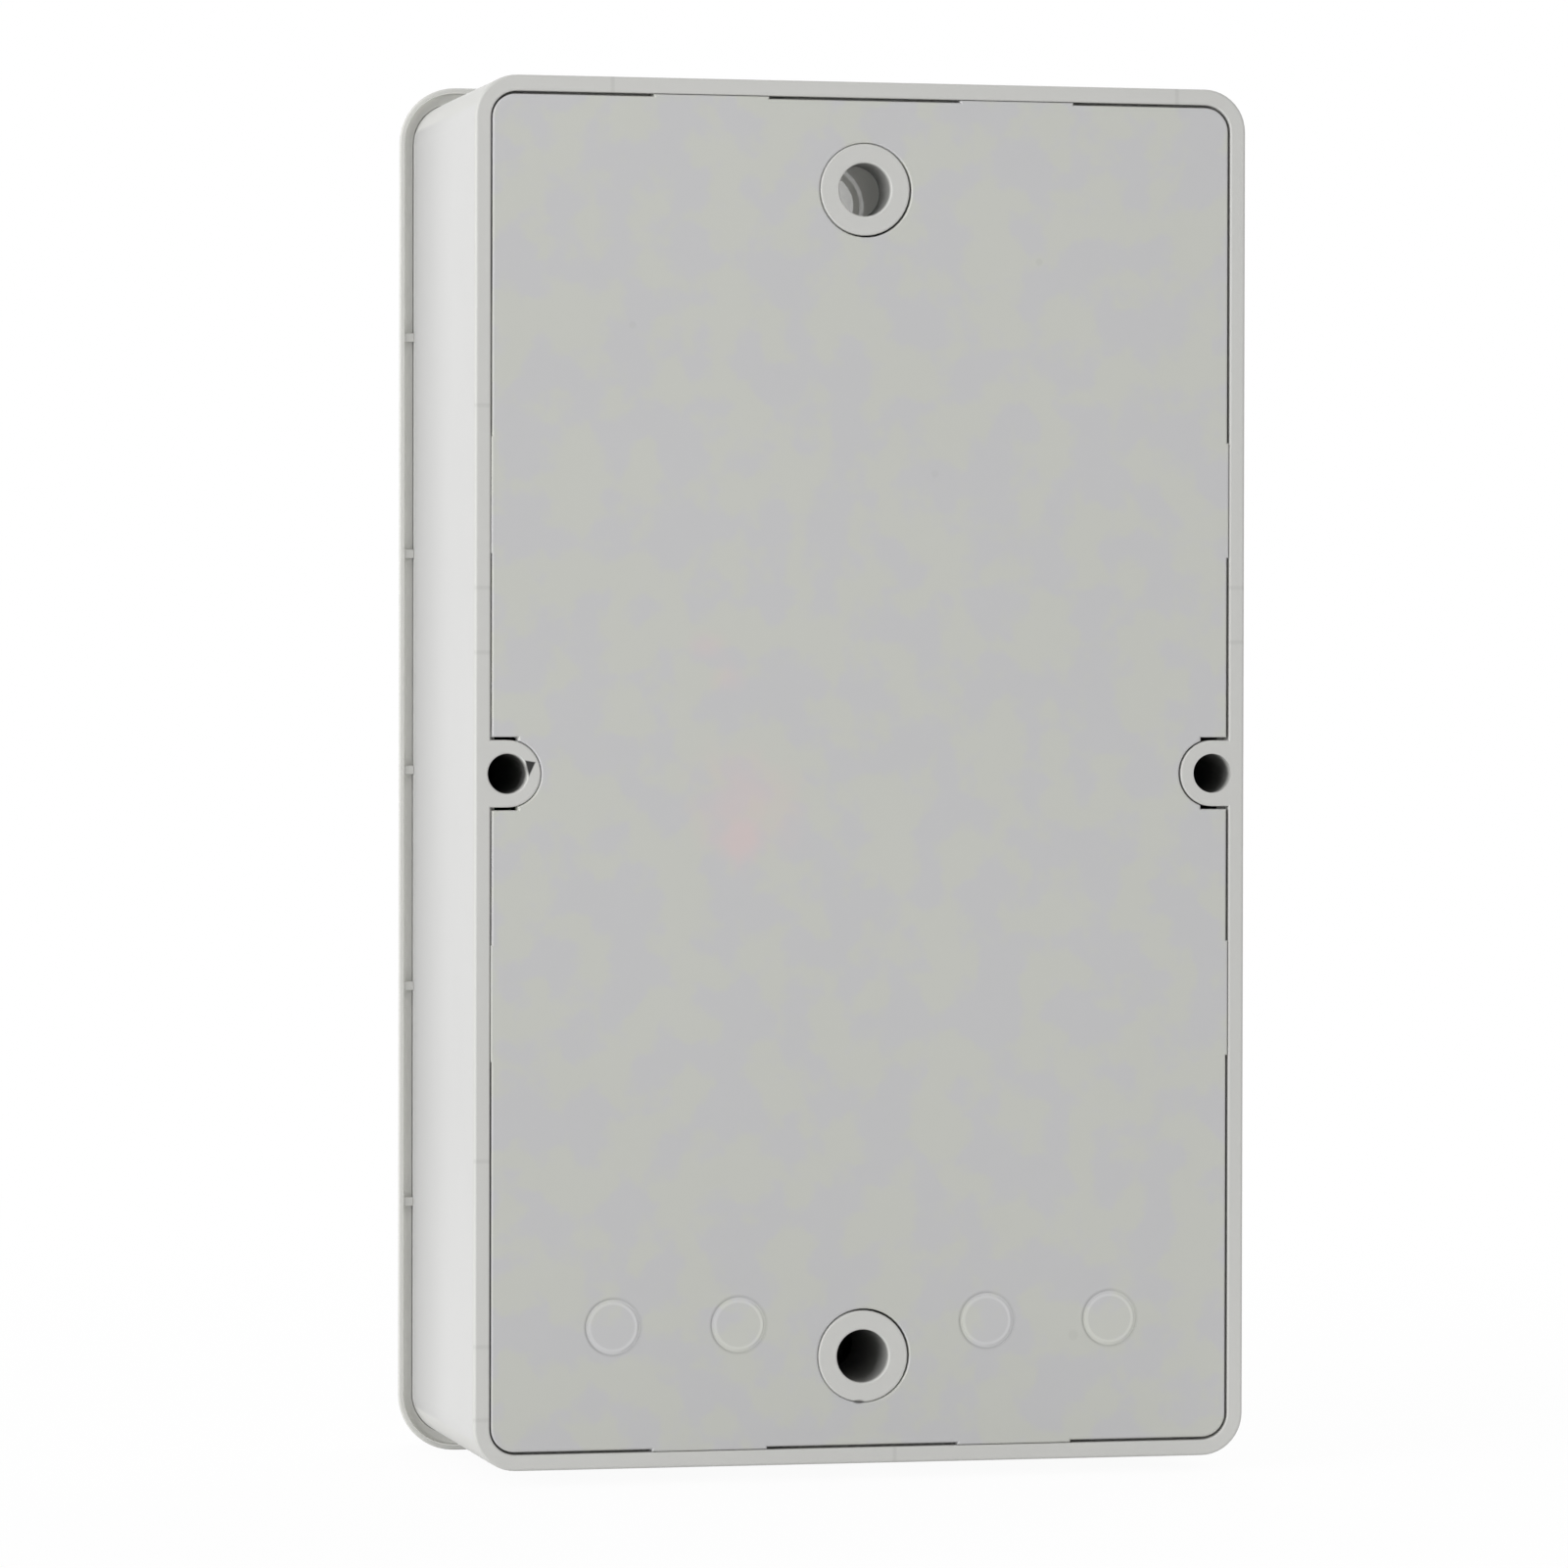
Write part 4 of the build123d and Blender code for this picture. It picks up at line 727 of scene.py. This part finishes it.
# Parts of the switches, in millimetres: plungers and knob stand proud, a steel cap closes each switch

PLUNGER_PROUD = 0.8
KNOB_PROUD = 0.8
SWITCH_CAP = 0.5


def key_marks(inside_colour, depth):
    """The part of a key behind a depth is the black plunger of its switch."""
    def marks(finish, paint, factor, gloss):
        behind = finish.y.over(-depth)
        return finish.blend(behind, paint, inside_colour), factor, gloss - behind * 0.15
    return marks


class TIMER_OT_keys(bpy.types.Operator):
    """Finish the keys, the sliding knob and the light pipe"""
    bl_idname = "timer.keys"
    bl_label = "Keys and knob"

    def execute(self, context):
        settings = context.scene.timer_keys
        plunger_front = front_depth("tact_switches") + PLUNGER_PROUD
        marks = key_marks(settings.black_colour, plunger_front)
        dress(["boost_button"], moulded("boost_plastic", settings.boost_colour, 0.42, marks=marks))
        dress(["override_button"], moulded("key_plastic", settings.key_colour, 0.45, marks=marks))
        dress(["key_day", "key_hour", "key_minute", "key_program"],
              moulded("key_rubber", settings.rubber_colour, 0.68, 0.03, 0.012, marks))
        dress(["reset_key"], moulded("reset_plastic", settings.black_colour, 0.5))
        dress(["mode_knob"], moulded("knob_plastic", settings.black_colour, 0.4, 0.05))
        pipe = Finish("pipe_acrylic")
        cloud = pipe.noise(1.2)
        dress(["light_pipe"], pipe.surface(
            Base_Color=pipe.shade(tone(196, 62, 48), 0.85 + cloud * 0.3), Roughness=0.08 + cloud * 0.1,
            IOR=1.49, Coat_Weight=0.6, Normal=pipe.relief(cloud, 0.02)))
        return {"FINISHED"}


def flat_prisms(name, outlines, front, thickness, material):
    """A piece of flat bars: each outline's points stand once on each of two depths.

    Point k of outline n lies at (x, -front, z) and again at (x, -front + thickness, z). One face
    closes each end, and a four-sided face joins each edge to the same edge of the other end.
    """
    outlines = np.asarray(outlines, float)
    count, corners = outlines.shape[:2]
    points = np.empty((count, 2, corners, 3))
    points[..., 0] = outlines[:, None, :, 0]
    points[:, 0, :, 1] = -front
    points[:, 1, :, 1] = thickness - front
    points[..., 2] = outlines[:, None, :, 1]
    first = np.arange(count)[:, None] * 2 * corners
    around = np.arange(corners)
    fronts = first + around
    after = first + (around + 1) % corners
    backs = (fronts + corners)[:, ::-1]
    sides = np.stack((fronts, fronts + corners, after + corners, after), -1).reshape(-1, 4)
    piece = plain_mesh(name, points * MM, [*fronts, *backs, *sides])
    piece.data.materials.append(material)
    return piece


# The display: which bars each figure shows, where a bar stands, and the rows' places in millimetres

BARS = {"0": "abcdef", "1": "bc", "2": "abdeg", "3": "abcdg", "4": "bcfg", "5": "acdfg",
        "6": "acdefg", "7": "abc", "8": "abcdefg", "9": "abcdfg"}
BAR_PLACES = {"a": (0, 1, 0), "b": (0.5, 0.5, 1), "c": (0.5, -0.5, 1), "d": (0, -1, 0),
              "e": (-0.5, -0.5, 1), "f": (-0.5, 0.5, 1), "g": (0, 0, 0)}
FIGURES_DROP = 1.2
FIGURE_FILM = 0.02
COLON_ROOM = 1.4
COLON_RISE = 2.6
DAYS = 7
DAY_PITCH = 6.6
DAY_DROP = 3.1
DAY_HEIGHT = 1.1
DAY_WIDTHS = (1.2, 3.6)
HOURS = 24
HOURS_ON = (12, 13, 14, 18, 19, 20, 21)
HOUR_PITCH = 2.05
HOUR_RISE = 2.4
HOUR_WIDTH = 1.1
HOUR_HEIGHTS = (0.5, 1.7)
MASK_SOFT = 0.05
STRIP_LAYER = 0.25


def figure_bars(settings, shown, centre_x, centre_z):
    """The six-cornered bars of one figure, leaning to the right by a share of their height.

    A bar is a line of some length whose two ends taper to a point over half its width.
    """
    thick = settings.bar_width / MM
    gap = settings.bar_gap / MM
    half = thick / 2
    span_x = settings.figure_width / MM - thick
    span_z = (settings.figure_height / MM - thick) / 2
    outlines = []
    for bar in shown:
        across, up, upright = BAR_PLACES[bar]
        length = (span_z if upright else span_x) / 2 - gap
        along = np.array((-length, half - length, length - half, length, length - half, half - length))
        over = np.array((0, half, half, 0, -half, -half))
        x, z = (over, along) if upright else (along, over)
        z = z + up * span_z
        x = x + across * span_x + z * settings.lean
        outlines.append(np.stack((centre_x + x, centre_z + z), 1))
    return outlines


def box_outline(x, z, width, height):
    """The four corners of an upright rectangle, and the middles of its top and its foot."""
    corners = np.array(((-1, 1), (0, 1), (1, 1), (1, -1), (0, -1), (-1, -1)))
    return corners * (width / 2, height / 2) + (x, z)


class TIMER_OT_display(bpy.types.Operator):
    """Finish the display and add its figures"""
    bl_idname = "timer.display"
    bl_label = "Display"

    def execute(self, context):
        settings = context.scene.timer_display
        keys = context.scene.timer_keys
        glass = Finish("lcd_face")
        cloud = glass.noise(18.0)
        fine = glass.noise(0.3)
        dress(["lcd_glass"], glass.surface(
            Base_Color=glass.shade(settings.glass_colour, 0.96 + cloud * 0.06 + fine * 0.02),
            Roughness=0.28 + cloud * 0.1, IOR=1.5, Normal=glass.relief(fine, 0.001)))
        self.finish_lens(settings)
        dress(["lcd_frame"], moulded("frame_plastic", keys.black_colour, 0.5))
        dress(["light_guide"], moulded("guide_acrylic", tone(226, 228, 224), 0.25, 0.01, 0.002))
        strips = Finish("strip_rubber")
        layer = strips.x.fold(STRIP_LAYER).rise(0.1, 0.15)
        dress(["contact_strips"], strips.surface(
            Base_Color=strips.blend(layer, tone(206, 128, 128), tone(46, 46, 48)),
            Roughness=0.62 + layer * 0.1, Normal=strips.relief(layer, 0.01)))
        self.add_figures(settings)
        return {"FINISHED"}

    def finish_lens(self, settings):
        """Clear acrylic whose printed border is opaque."""
        (_, x_high), _, (z_low, z_high) = reach("display_lens")
        border = settings.mask_width / MM
        lens = Finish("lens_acrylic")
        half_x, half_z = x_high - border, (z_high - z_low) / 2 - border
        across = abs(lens.x).rise(half_x - MASK_SOFT, half_x + MASK_SOFT)
        up = abs(lens.z - (z_low + z_high) / 2).rise(half_z - MASK_SOFT, half_z + MASK_SOFT)
        mask = across.most(up)
        haze = lens.noise(12.0)
        dress(["display_lens"], lens.surface(
            Base_Color=lens.blend(mask, tone(214, 220, 218), settings.mask_colour),
            Roughness=0.06 + haze * 0.06, IOR=1.49, Alpha=0.14 + mask * 0.86,
            Normal=lens.relief(haze, 0.01)))

    def add_figures(self, settings):
        """Four large figures with a colon, seven day marks and a row of small bars."""
        _, (y_front, _), (z_low, z_high) = reach("lcd_glass")
        middle_z = (z_low + z_high) / 2 - FIGURES_DROP
        pitch = settings.figure_pitch / MM
        outlines = []
        for place, figure in enumerate(settings.time):
            x = (place - 1.5) * pitch + (COLON_ROOM if place > 1 else -COLON_ROOM)
            outlines += figure_bars(settings, BARS[figure], x, middle_z)
        dot = settings.bar_width / MM
        for up in (-COLON_RISE, COLON_RISE):
            outlines.append(box_outline(up * settings.lean, middle_z + up, dot, dot))
        for day in range(DAYS):
            x = (day - (DAYS - 1) / 2) * DAY_PITCH
            wide = DAY_WIDTHS[day + 1 == settings.day]
            outlines.append(box_outline(x, z_high - DAY_DROP, wide, DAY_HEIGHT))
        for hour in range(HOURS):
            x = (hour - (HOURS - 1) / 2) * HOUR_PITCH
            tall = HOUR_HEIGHTS[hour in HOURS_ON]
            outlines.append(box_outline(x, z_low + HOUR_RISE + tall / 2, HOUR_WIDTH, tall))
        ink = Finish("display_bars")
        fleck = ink.noise(0.4)
        paint = ink.shade(settings.bar_colour, 0.9 + fleck * 0.2)
        material = ink.surface(Base_Color=paint, Roughness=0.3 + fleck * 0.1)
        piece = flat_prisms("display_figures", outlines, FIGURE_FILM - y_front, FIGURE_FILM, material)
        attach(piece, "case")


def print_words(name, lines, body, material, thickness):
    """Printed words as one flat mesh. Each line gives its words, x, z, depth and height."""
    points = []
    faces = []
    for words, x, z, depth, height in lines:
        curve = bpy.data.curves.new("words", "FONT")
        curve.body = words
        curve.size = height * MM
        curve.align_x = "CENTER"
        curve.align_y = "CENTER"
        curve.extrude = thickness / 2
        curve.resolution_u = 6
        holder = bpy.data.objects.new("words", curve)
        mesh = bpy.data.meshes.new_from_object(holder)
        bpy.data.objects.remove(holder)
        flat = np.empty(len(mesh.vertices) * 3)
        mesh.vertices.foreach_get("co", flat)
        flat = flat.reshape(-1, 3)
        turned = np.stack((flat[:, 0] + x * MM, -flat[:, 2] - depth * MM, flat[:, 1] + z * MM), 1)
        faces += [[corner + len(points) for corner in face.vertices] for face in mesh.polygons]
        points += list(turned)
    piece = plain_mesh(name, points, faces)
    piece.data.materials.append(material)
    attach(piece, body)


# The printed words, in millimetres: their heights, and how far their rows stand below or above the keys

BIG_WORD = 3.4
KEY_WORD = 2.0
KEY_WORD_DROP = 5.0
MODE_WORD = 1.8
MODE_WORD_DROP = 4.4
MODE_WORD_PITCH = 6.4
RESET_WORD = 1.6
RESET_WORD_RISE = 3.2


class TIMER_OT_markings(bpy.types.Operator):
    """Print the plain words and figures on the keys and the recess"""
    bl_idname = "timer.markings"
    bl_label = "Markings"

    def execute(self, context):
        settings = context.scene.timer_keys
        thick = settings.ink_height
        lift = thick / MM / 2
        dark = moulded("dark_ink", settings.ink_colour, 0.5, 0.04, 0.002)
        light = moulded("light_ink", settings.light_ink, 0.5, 0.03, 0.002)
        for node, words, body in (("boost_button", "+2 h", "boost_key"),
                                  ("override_button", "ON / OFF", "override_key")):
            x, _, z = middle(node)
            lines = [(words, x, z, front_depth(node) + lift, BIG_WORD)]
            print_words(f"{body}_words", lines, body, light, thick)
        floor = front_depth("mode_knob") - KNOB_PROUD + lift
        lines = []
        for node, words in (("key_day", "DAY"), ("key_hour", "HOUR"), ("key_minute", "MIN"),
                            ("key_program", "SET")):
            x, _, z = middle(node)
            lines.append((words, x, z - KEY_WORD_DROP, floor, KEY_WORD))
        x, _, z = middle("mode_knob")
        for step, words in ((-1, "OFF"), (0, "AUTO"), (1, "ON")):
            lines.append((words, x + step * MODE_WORD_PITCH, z - MODE_WORD_DROP, floor, MODE_WORD))
        x, _, z = middle("reset_key")
        lines.append(("RESET", x, z + RESET_WORD_RISE, floor, RESET_WORD))
        print_words("recess_words", lines, "case", dark, thick)
        return {"FINISHED"}


def board_finish(name, settings):
    """Laminate under a green solder mask: paler tracks, tinned spots and a glossy lacquer."""
    finish = Finish(name)
    turned = finish.node("ShaderNodeCombineXYZ", {}, {0: finish.x, 1: finish.z, 2: 0.0}).outputs[0]
    track = finish.amount("ShaderNodeTexBrick", {"offset": 0.37, "squash": 0.6, "squash_frequency": 3}, {
        "Vector": turned, "Scale": 0.22, "Mortar Size": 0.035, "Mortar Smooth": 0.1,
        "Brick Width": 1.4, "Row Height": 0.42}, 1)
    spots = finish.node("ShaderNodeTexVoronoi", {"feature": "F1"}, {"Vector": turned, "Scale": 0.34,
                                                                   "Randomness": 0.5})
    dot = 1 - Amount(finish, spots.outputs["Distance"]).rise(0.1, 0.14)
    weave = finish.noise(0.5)
    paint = finish.blend(track, settings.board_colour, settings.track_colour)
    paint = finish.blend(dot, finish.shade(paint, 0.92 + weave * 0.16), settings.steel_colour)
    return finish.surface(Base_Color=paint, Roughness=0.3 + weave * 0.12, Metallic=dot * 0.8,
                          Normal=finish.relief(track + dot, 0.03), Coat_Weight=0.3)


class TIMER_OT_boards(bpy.types.Operator):
    """Finish the two boards, their links and the parts on the display board"""
    bl_idname = "timer.boards"
    bl_label = "Boards"

    def execute(self, context):
        settings = context.scene.timer_inside
        black = context.scene.timer_keys.black_colour
        dress(["power_board", "display_board"], board_finish("board_lacquer", settings))
        dress(["board_link_spacer"], moulded("spacer_plastic", black, 0.5))
        dress(["board_link_pins"], metal("pin_gilt", settings.brass_colour, 0.3))
        dress(["microcontroller"], self.chip(settings, black))
        dress(["quartz_crystal"], metal("crystal_can", settings.steel_colour, 0.24))
        dress(["display_chips"], self.ceramic(settings))
        dress(["tact_switches"], self.capped("switch_plastic", black, settings.steel_colour,
                                             front_depth("tact_switches") - SWITCH_CAP))
        dress(["mode_switch"], metal("switch_can", settings.steel_colour, 0.3))
        lamp = Finish("lamp_epoxy")
        cloud = lamp.noise(1.0)
        dress(["status_lamp"], lamp.surface(Base_Color=lamp.shade(tone(188, 40, 34), 0.9 + cloud * 0.2),
                                            Roughness=0.12 + cloud * 0.1, Coat_Weight=0.8))
        return {"FINISHED"}

    def chip(self, settings, black):
        """Black moulding, with tinned legs beyond its edge."""
        x, _, z = middle("microcontroller")
        leg_length = 1.0
        half = reach("microcontroller")[0][1] - x - leg_length
        finish = Finish("chip_moulding")
        leg = (abs(finish.x - x) - half).most(abs(finish.z - z) - half).over(0)
        grain = finish.noise(0.2, 3.0)
        return finish.surface(
            Base_Color=finish.blend(leg, finish.shade(black, 0.9 + grain * 0.3), settings.steel_colour),
            Roughness=0.5 - leg * 0.2 + grain * 0.1, Metallic=leg, Normal=finish.relief(grain, 0.01))

    def ceramic(self, settings):
        """Sand-coloured ceramic blocks with tinned ends, one every pitch along X."""
        finish = Finish("chip_ceramic")
        pitch = 5.0
        half_body = 0.62
        end = finish.x.fold(pitch / 2).over(half_body)
        grain = finish.noise(0.3)
        return finish.surface(
            Base_Color=finish.blend(end, finish.shade(tone(168, 146, 112), 0.9 + grain * 0.2),
                                    settings.steel_colour),
            Roughness=0.45 + grain * 0.1, Metallic=end)

    def capped(self, name, paint, cap, depth):
        """A moulding whose front, past a depth, is a steel plate."""
        finish = Finish(name)
        front = (-finish.y).over(depth)
        grain = finish.noise(0.25, 3.0)
        return finish.surface(
            Base_Color=finish.blend(front, finish.shade(paint, 0.9 + grain * 0.3), cap),
            Roughness=0.5 - front * 0.2 + grain * 0.1, Metallic=front,
            Normal=finish.relief(grain, 0.006))


class TIMER_OT_relay(bpy.types.Operator):
    """Finish the relay and its contacts"""
    bl_idname = "timer.relay"
    bl_label = "Relay"

    def execute(self, context):
        settings = context.scene.timer_inside
        black = context.scene.timer_keys.black_colour
        dress(["relay_case"], moulded("relay_cap", settings.relay_colour, 0.35, 0.04))
        dress(["relay_base"], moulded("relay_floor", black, 0.5))
        dress(["relay_bobbin"], moulded("bobbin_nylon", settings.nylon_colour, 0.4, 0.03))
        dress(["relay_yoke", "relay_armature"], metal("yoke_iron", settings.steel_colour, 0.32))
        dress(["relay_contact_blade", "relay_fixed_contacts"],
              metal("blade_bronze", settings.brass_colour, 0.28))
        coil = Finish("coil_winding")
        wire = 0.06
        # Each turn is painted darker towards its edges, as painted shade between the turns, and the same
        # amount raises its crest
        wire_relief_and_shade = coil.y.fold(wire).rise(0.0, wire)
        worn = coil.noise(1.5)
        dress(["relay_coil"], coil.surface(
            Base_Color=coil.shade(settings.copper_colour, 0.75 + wire_relief_and_shade * 0.3 + worn * 0.1),
            Roughness=0.3 + worn * 0.1, Metallic=0.85, Normal=coil.relief(wire_relief_and_shade, 0.05)))
        return {"FINISHED"}


class TIMER_OT_components(bpy.types.Operator):
    """Finish the other parts on the power board"""
    bl_idname = "timer.components"
    bl_label = "Components"

    def execute(self, context):
        settings = context.scene.timer_inside
        black = context.scene.timer_keys.black_colour
        dress(["suppression_capacitor"], moulded("capacitor_box", tone(222, 184, 62), 0.3, 0.03, 0.002))
        dress(["reservoir_capacitors"], self.sleeve(settings))
        dress(["varistor"], self.dipped("varistor_epoxy", tone(58, 108, 164), settings, "varistor"))
        dress(["dropper_resistor"], self.dipped("resistor_cement", tone(176, 152, 122), settings,
                                                "dropper_resistor"))
        dress(["rectifier_diodes"], self.banded(settings, black))
        dress(["transistors"], self.dipped("transistor_epoxy", black, settings, "transistors"))
        dress(["backup_cell", "cell_tabs"], metal("cell_can", settings.steel_colour, 0.22, 0.08))
        return {"FINISHED"}

    def sleeve(self, settings):
        """A blue sleeve with a pale stripe down one side and a bare can end."""
        finish = Finish("capacitor_sleeve")
        x, _, _ = middle("reservoir_capacitors")
        stripe_start = 3.0
        bare_end = 0.06
        stripe = (finish.x - x).over(stripe_start)
        top = (-finish.y).over(front_depth("reservoir_capacitors") - bare_end)
        cloud = finish.noise(2.0)
        paint = finish.blend(stripe, tone(30, 44, 84), tone(176, 184, 196))
        paint = finish.blend(top, finish.shade(paint, 0.92 + cloud * 0.16), settings.steel_colour)
        return finish.surface(Base_Color=paint, Roughness=0.3 + cloud * 0.1, Metallic=top,
                              Coat_Weight=0.2)

    def dipped(self, name, paint, settings, node):
        """A dipped or cast coat, with tinned leads near the board."""
        finish = Finish(name)
        lead_length = 0.95
        lead = (-finish.y).under(lead_length - reach(node)[1][1])
        lump = finish.noise(1.2, 3.0)
        return finish.surface(
            Base_Color=finish.blend(lead, finish.shade(paint, 0.9 + lump * 0.2), settings.steel_colour),
            Roughness=0.42 + lump * 0.12 - lead * 0.15, Metallic=lead,
            Normal=finish.relief(lump, 0.06))

    def banded(self, settings, black):
        """Black bodies with a pale band near the upper end and tinned leads."""
        finish = Finish("diode_epoxy")
        _, _, z = middle("rectifier_diodes")
        up = finish.z - z
        half_body = 2.62
        band_place, half_band = 1.7, 0.3
        band = up.near(band_place, half_band, 0.05)
        lead = abs(up).over(half_body)
        grain = finish.noise(0.4)
        paint = finish.blend(band, finish.shade(black, 0.9 + grain * 0.3), tone(196, 196, 192))
        return finish.surface(Base_Color=finish.blend(lead, paint, settings.steel_colour),
                              Roughness=0.4 + grain * 0.1 - lead * 0.12, Metallic=lead)


class TIMER_OT_terminals(bpy.types.Operator):
    """Finish the terminal blocks, clamps and screws"""
    bl_idname = "timer.terminals"
    bl_label = "Terminals"

    def execute(self, context):
        settings = context.scene.timer_inside
        dress(["terminal_blocks"], moulded("terminal_plastic", settings.terminal_colour, 0.45, 0.03))
        dress(["terminal_clamps"], metal("clamp_brass", settings.brass_colour, 0.3))
        dress(["terminal_screws"], metal("terminal_zinc", settings.steel_colour, 0.32))
        return {"FINISHED"}


class TIMER_OT_fasteners(bpy.types.Operator):
    """Finish the case, cover and board screws"""
    bl_idname = "timer.fasteners"
    bl_label = "Screws"

    def execute(self, context):
        settings = context.scene.timer_inside
        dress(["case_screws", "power_board_screws", "display_board_screws"],
              metal("screw_zinc", settings.steel_colour, 0.34))
        dress(["terminal_cover_screw"], metal("screw_nickel", settings.steel_colour, 0.25, 0.08))
        return {"FINISHED"}


class TIMER_PT_panel(bpy.types.Panel):
    """Lists the steps that finish the timer switch"""
    bl_label = "Timer switch"
    bl_idname = "TIMER_PT_panel"
    bl_space_type = "VIEW_3D"
    bl_region_type = "UI"
    bl_category = "Timer switch"

    def draw(self, context):
        for step in STEPS:
            self.layout.operator(step.bl_idname)


STEPS = (TIMER_OT_stage, TIMER_OT_shells, TIMER_OT_keys, TIMER_OT_display, TIMER_OT_markings,
         TIMER_OT_boards, TIMER_OT_relay, TIMER_OT_components, TIMER_OT_terminals,
         TIMER_OT_fasteners)
SETTINGS = {
    "timer_studio": StudioSettings,
    "timer_shells": ShellSettings,
    "timer_keys": KeySettings,
    "timer_display": DisplaySettings,
    "timer_inside": InsideSettings,
}


def register():
    for kind in (*SETTINGS.values(), *STEPS, TIMER_PT_panel):
        bpy.utils.register_class(kind)
    for name, kind in SETTINGS.items():
        setattr(bpy.types.Scene, name, PointerProperty(type=kind))


def unregister():
    for name in SETTINGS:
        delattr(bpy.types.Scene, name)
    for kind in (TIMER_PT_panel, *reversed(STEPS), *reversed(SETTINGS.values())):
        bpy.utils.unregister_class(kind)


def main():
    register()
    for step in STEPS:
        group, name = step.bl_idname.split(".")
        getattr(getattr(bpy.ops, group), name)()


if __name__ == "__main__":
    main()
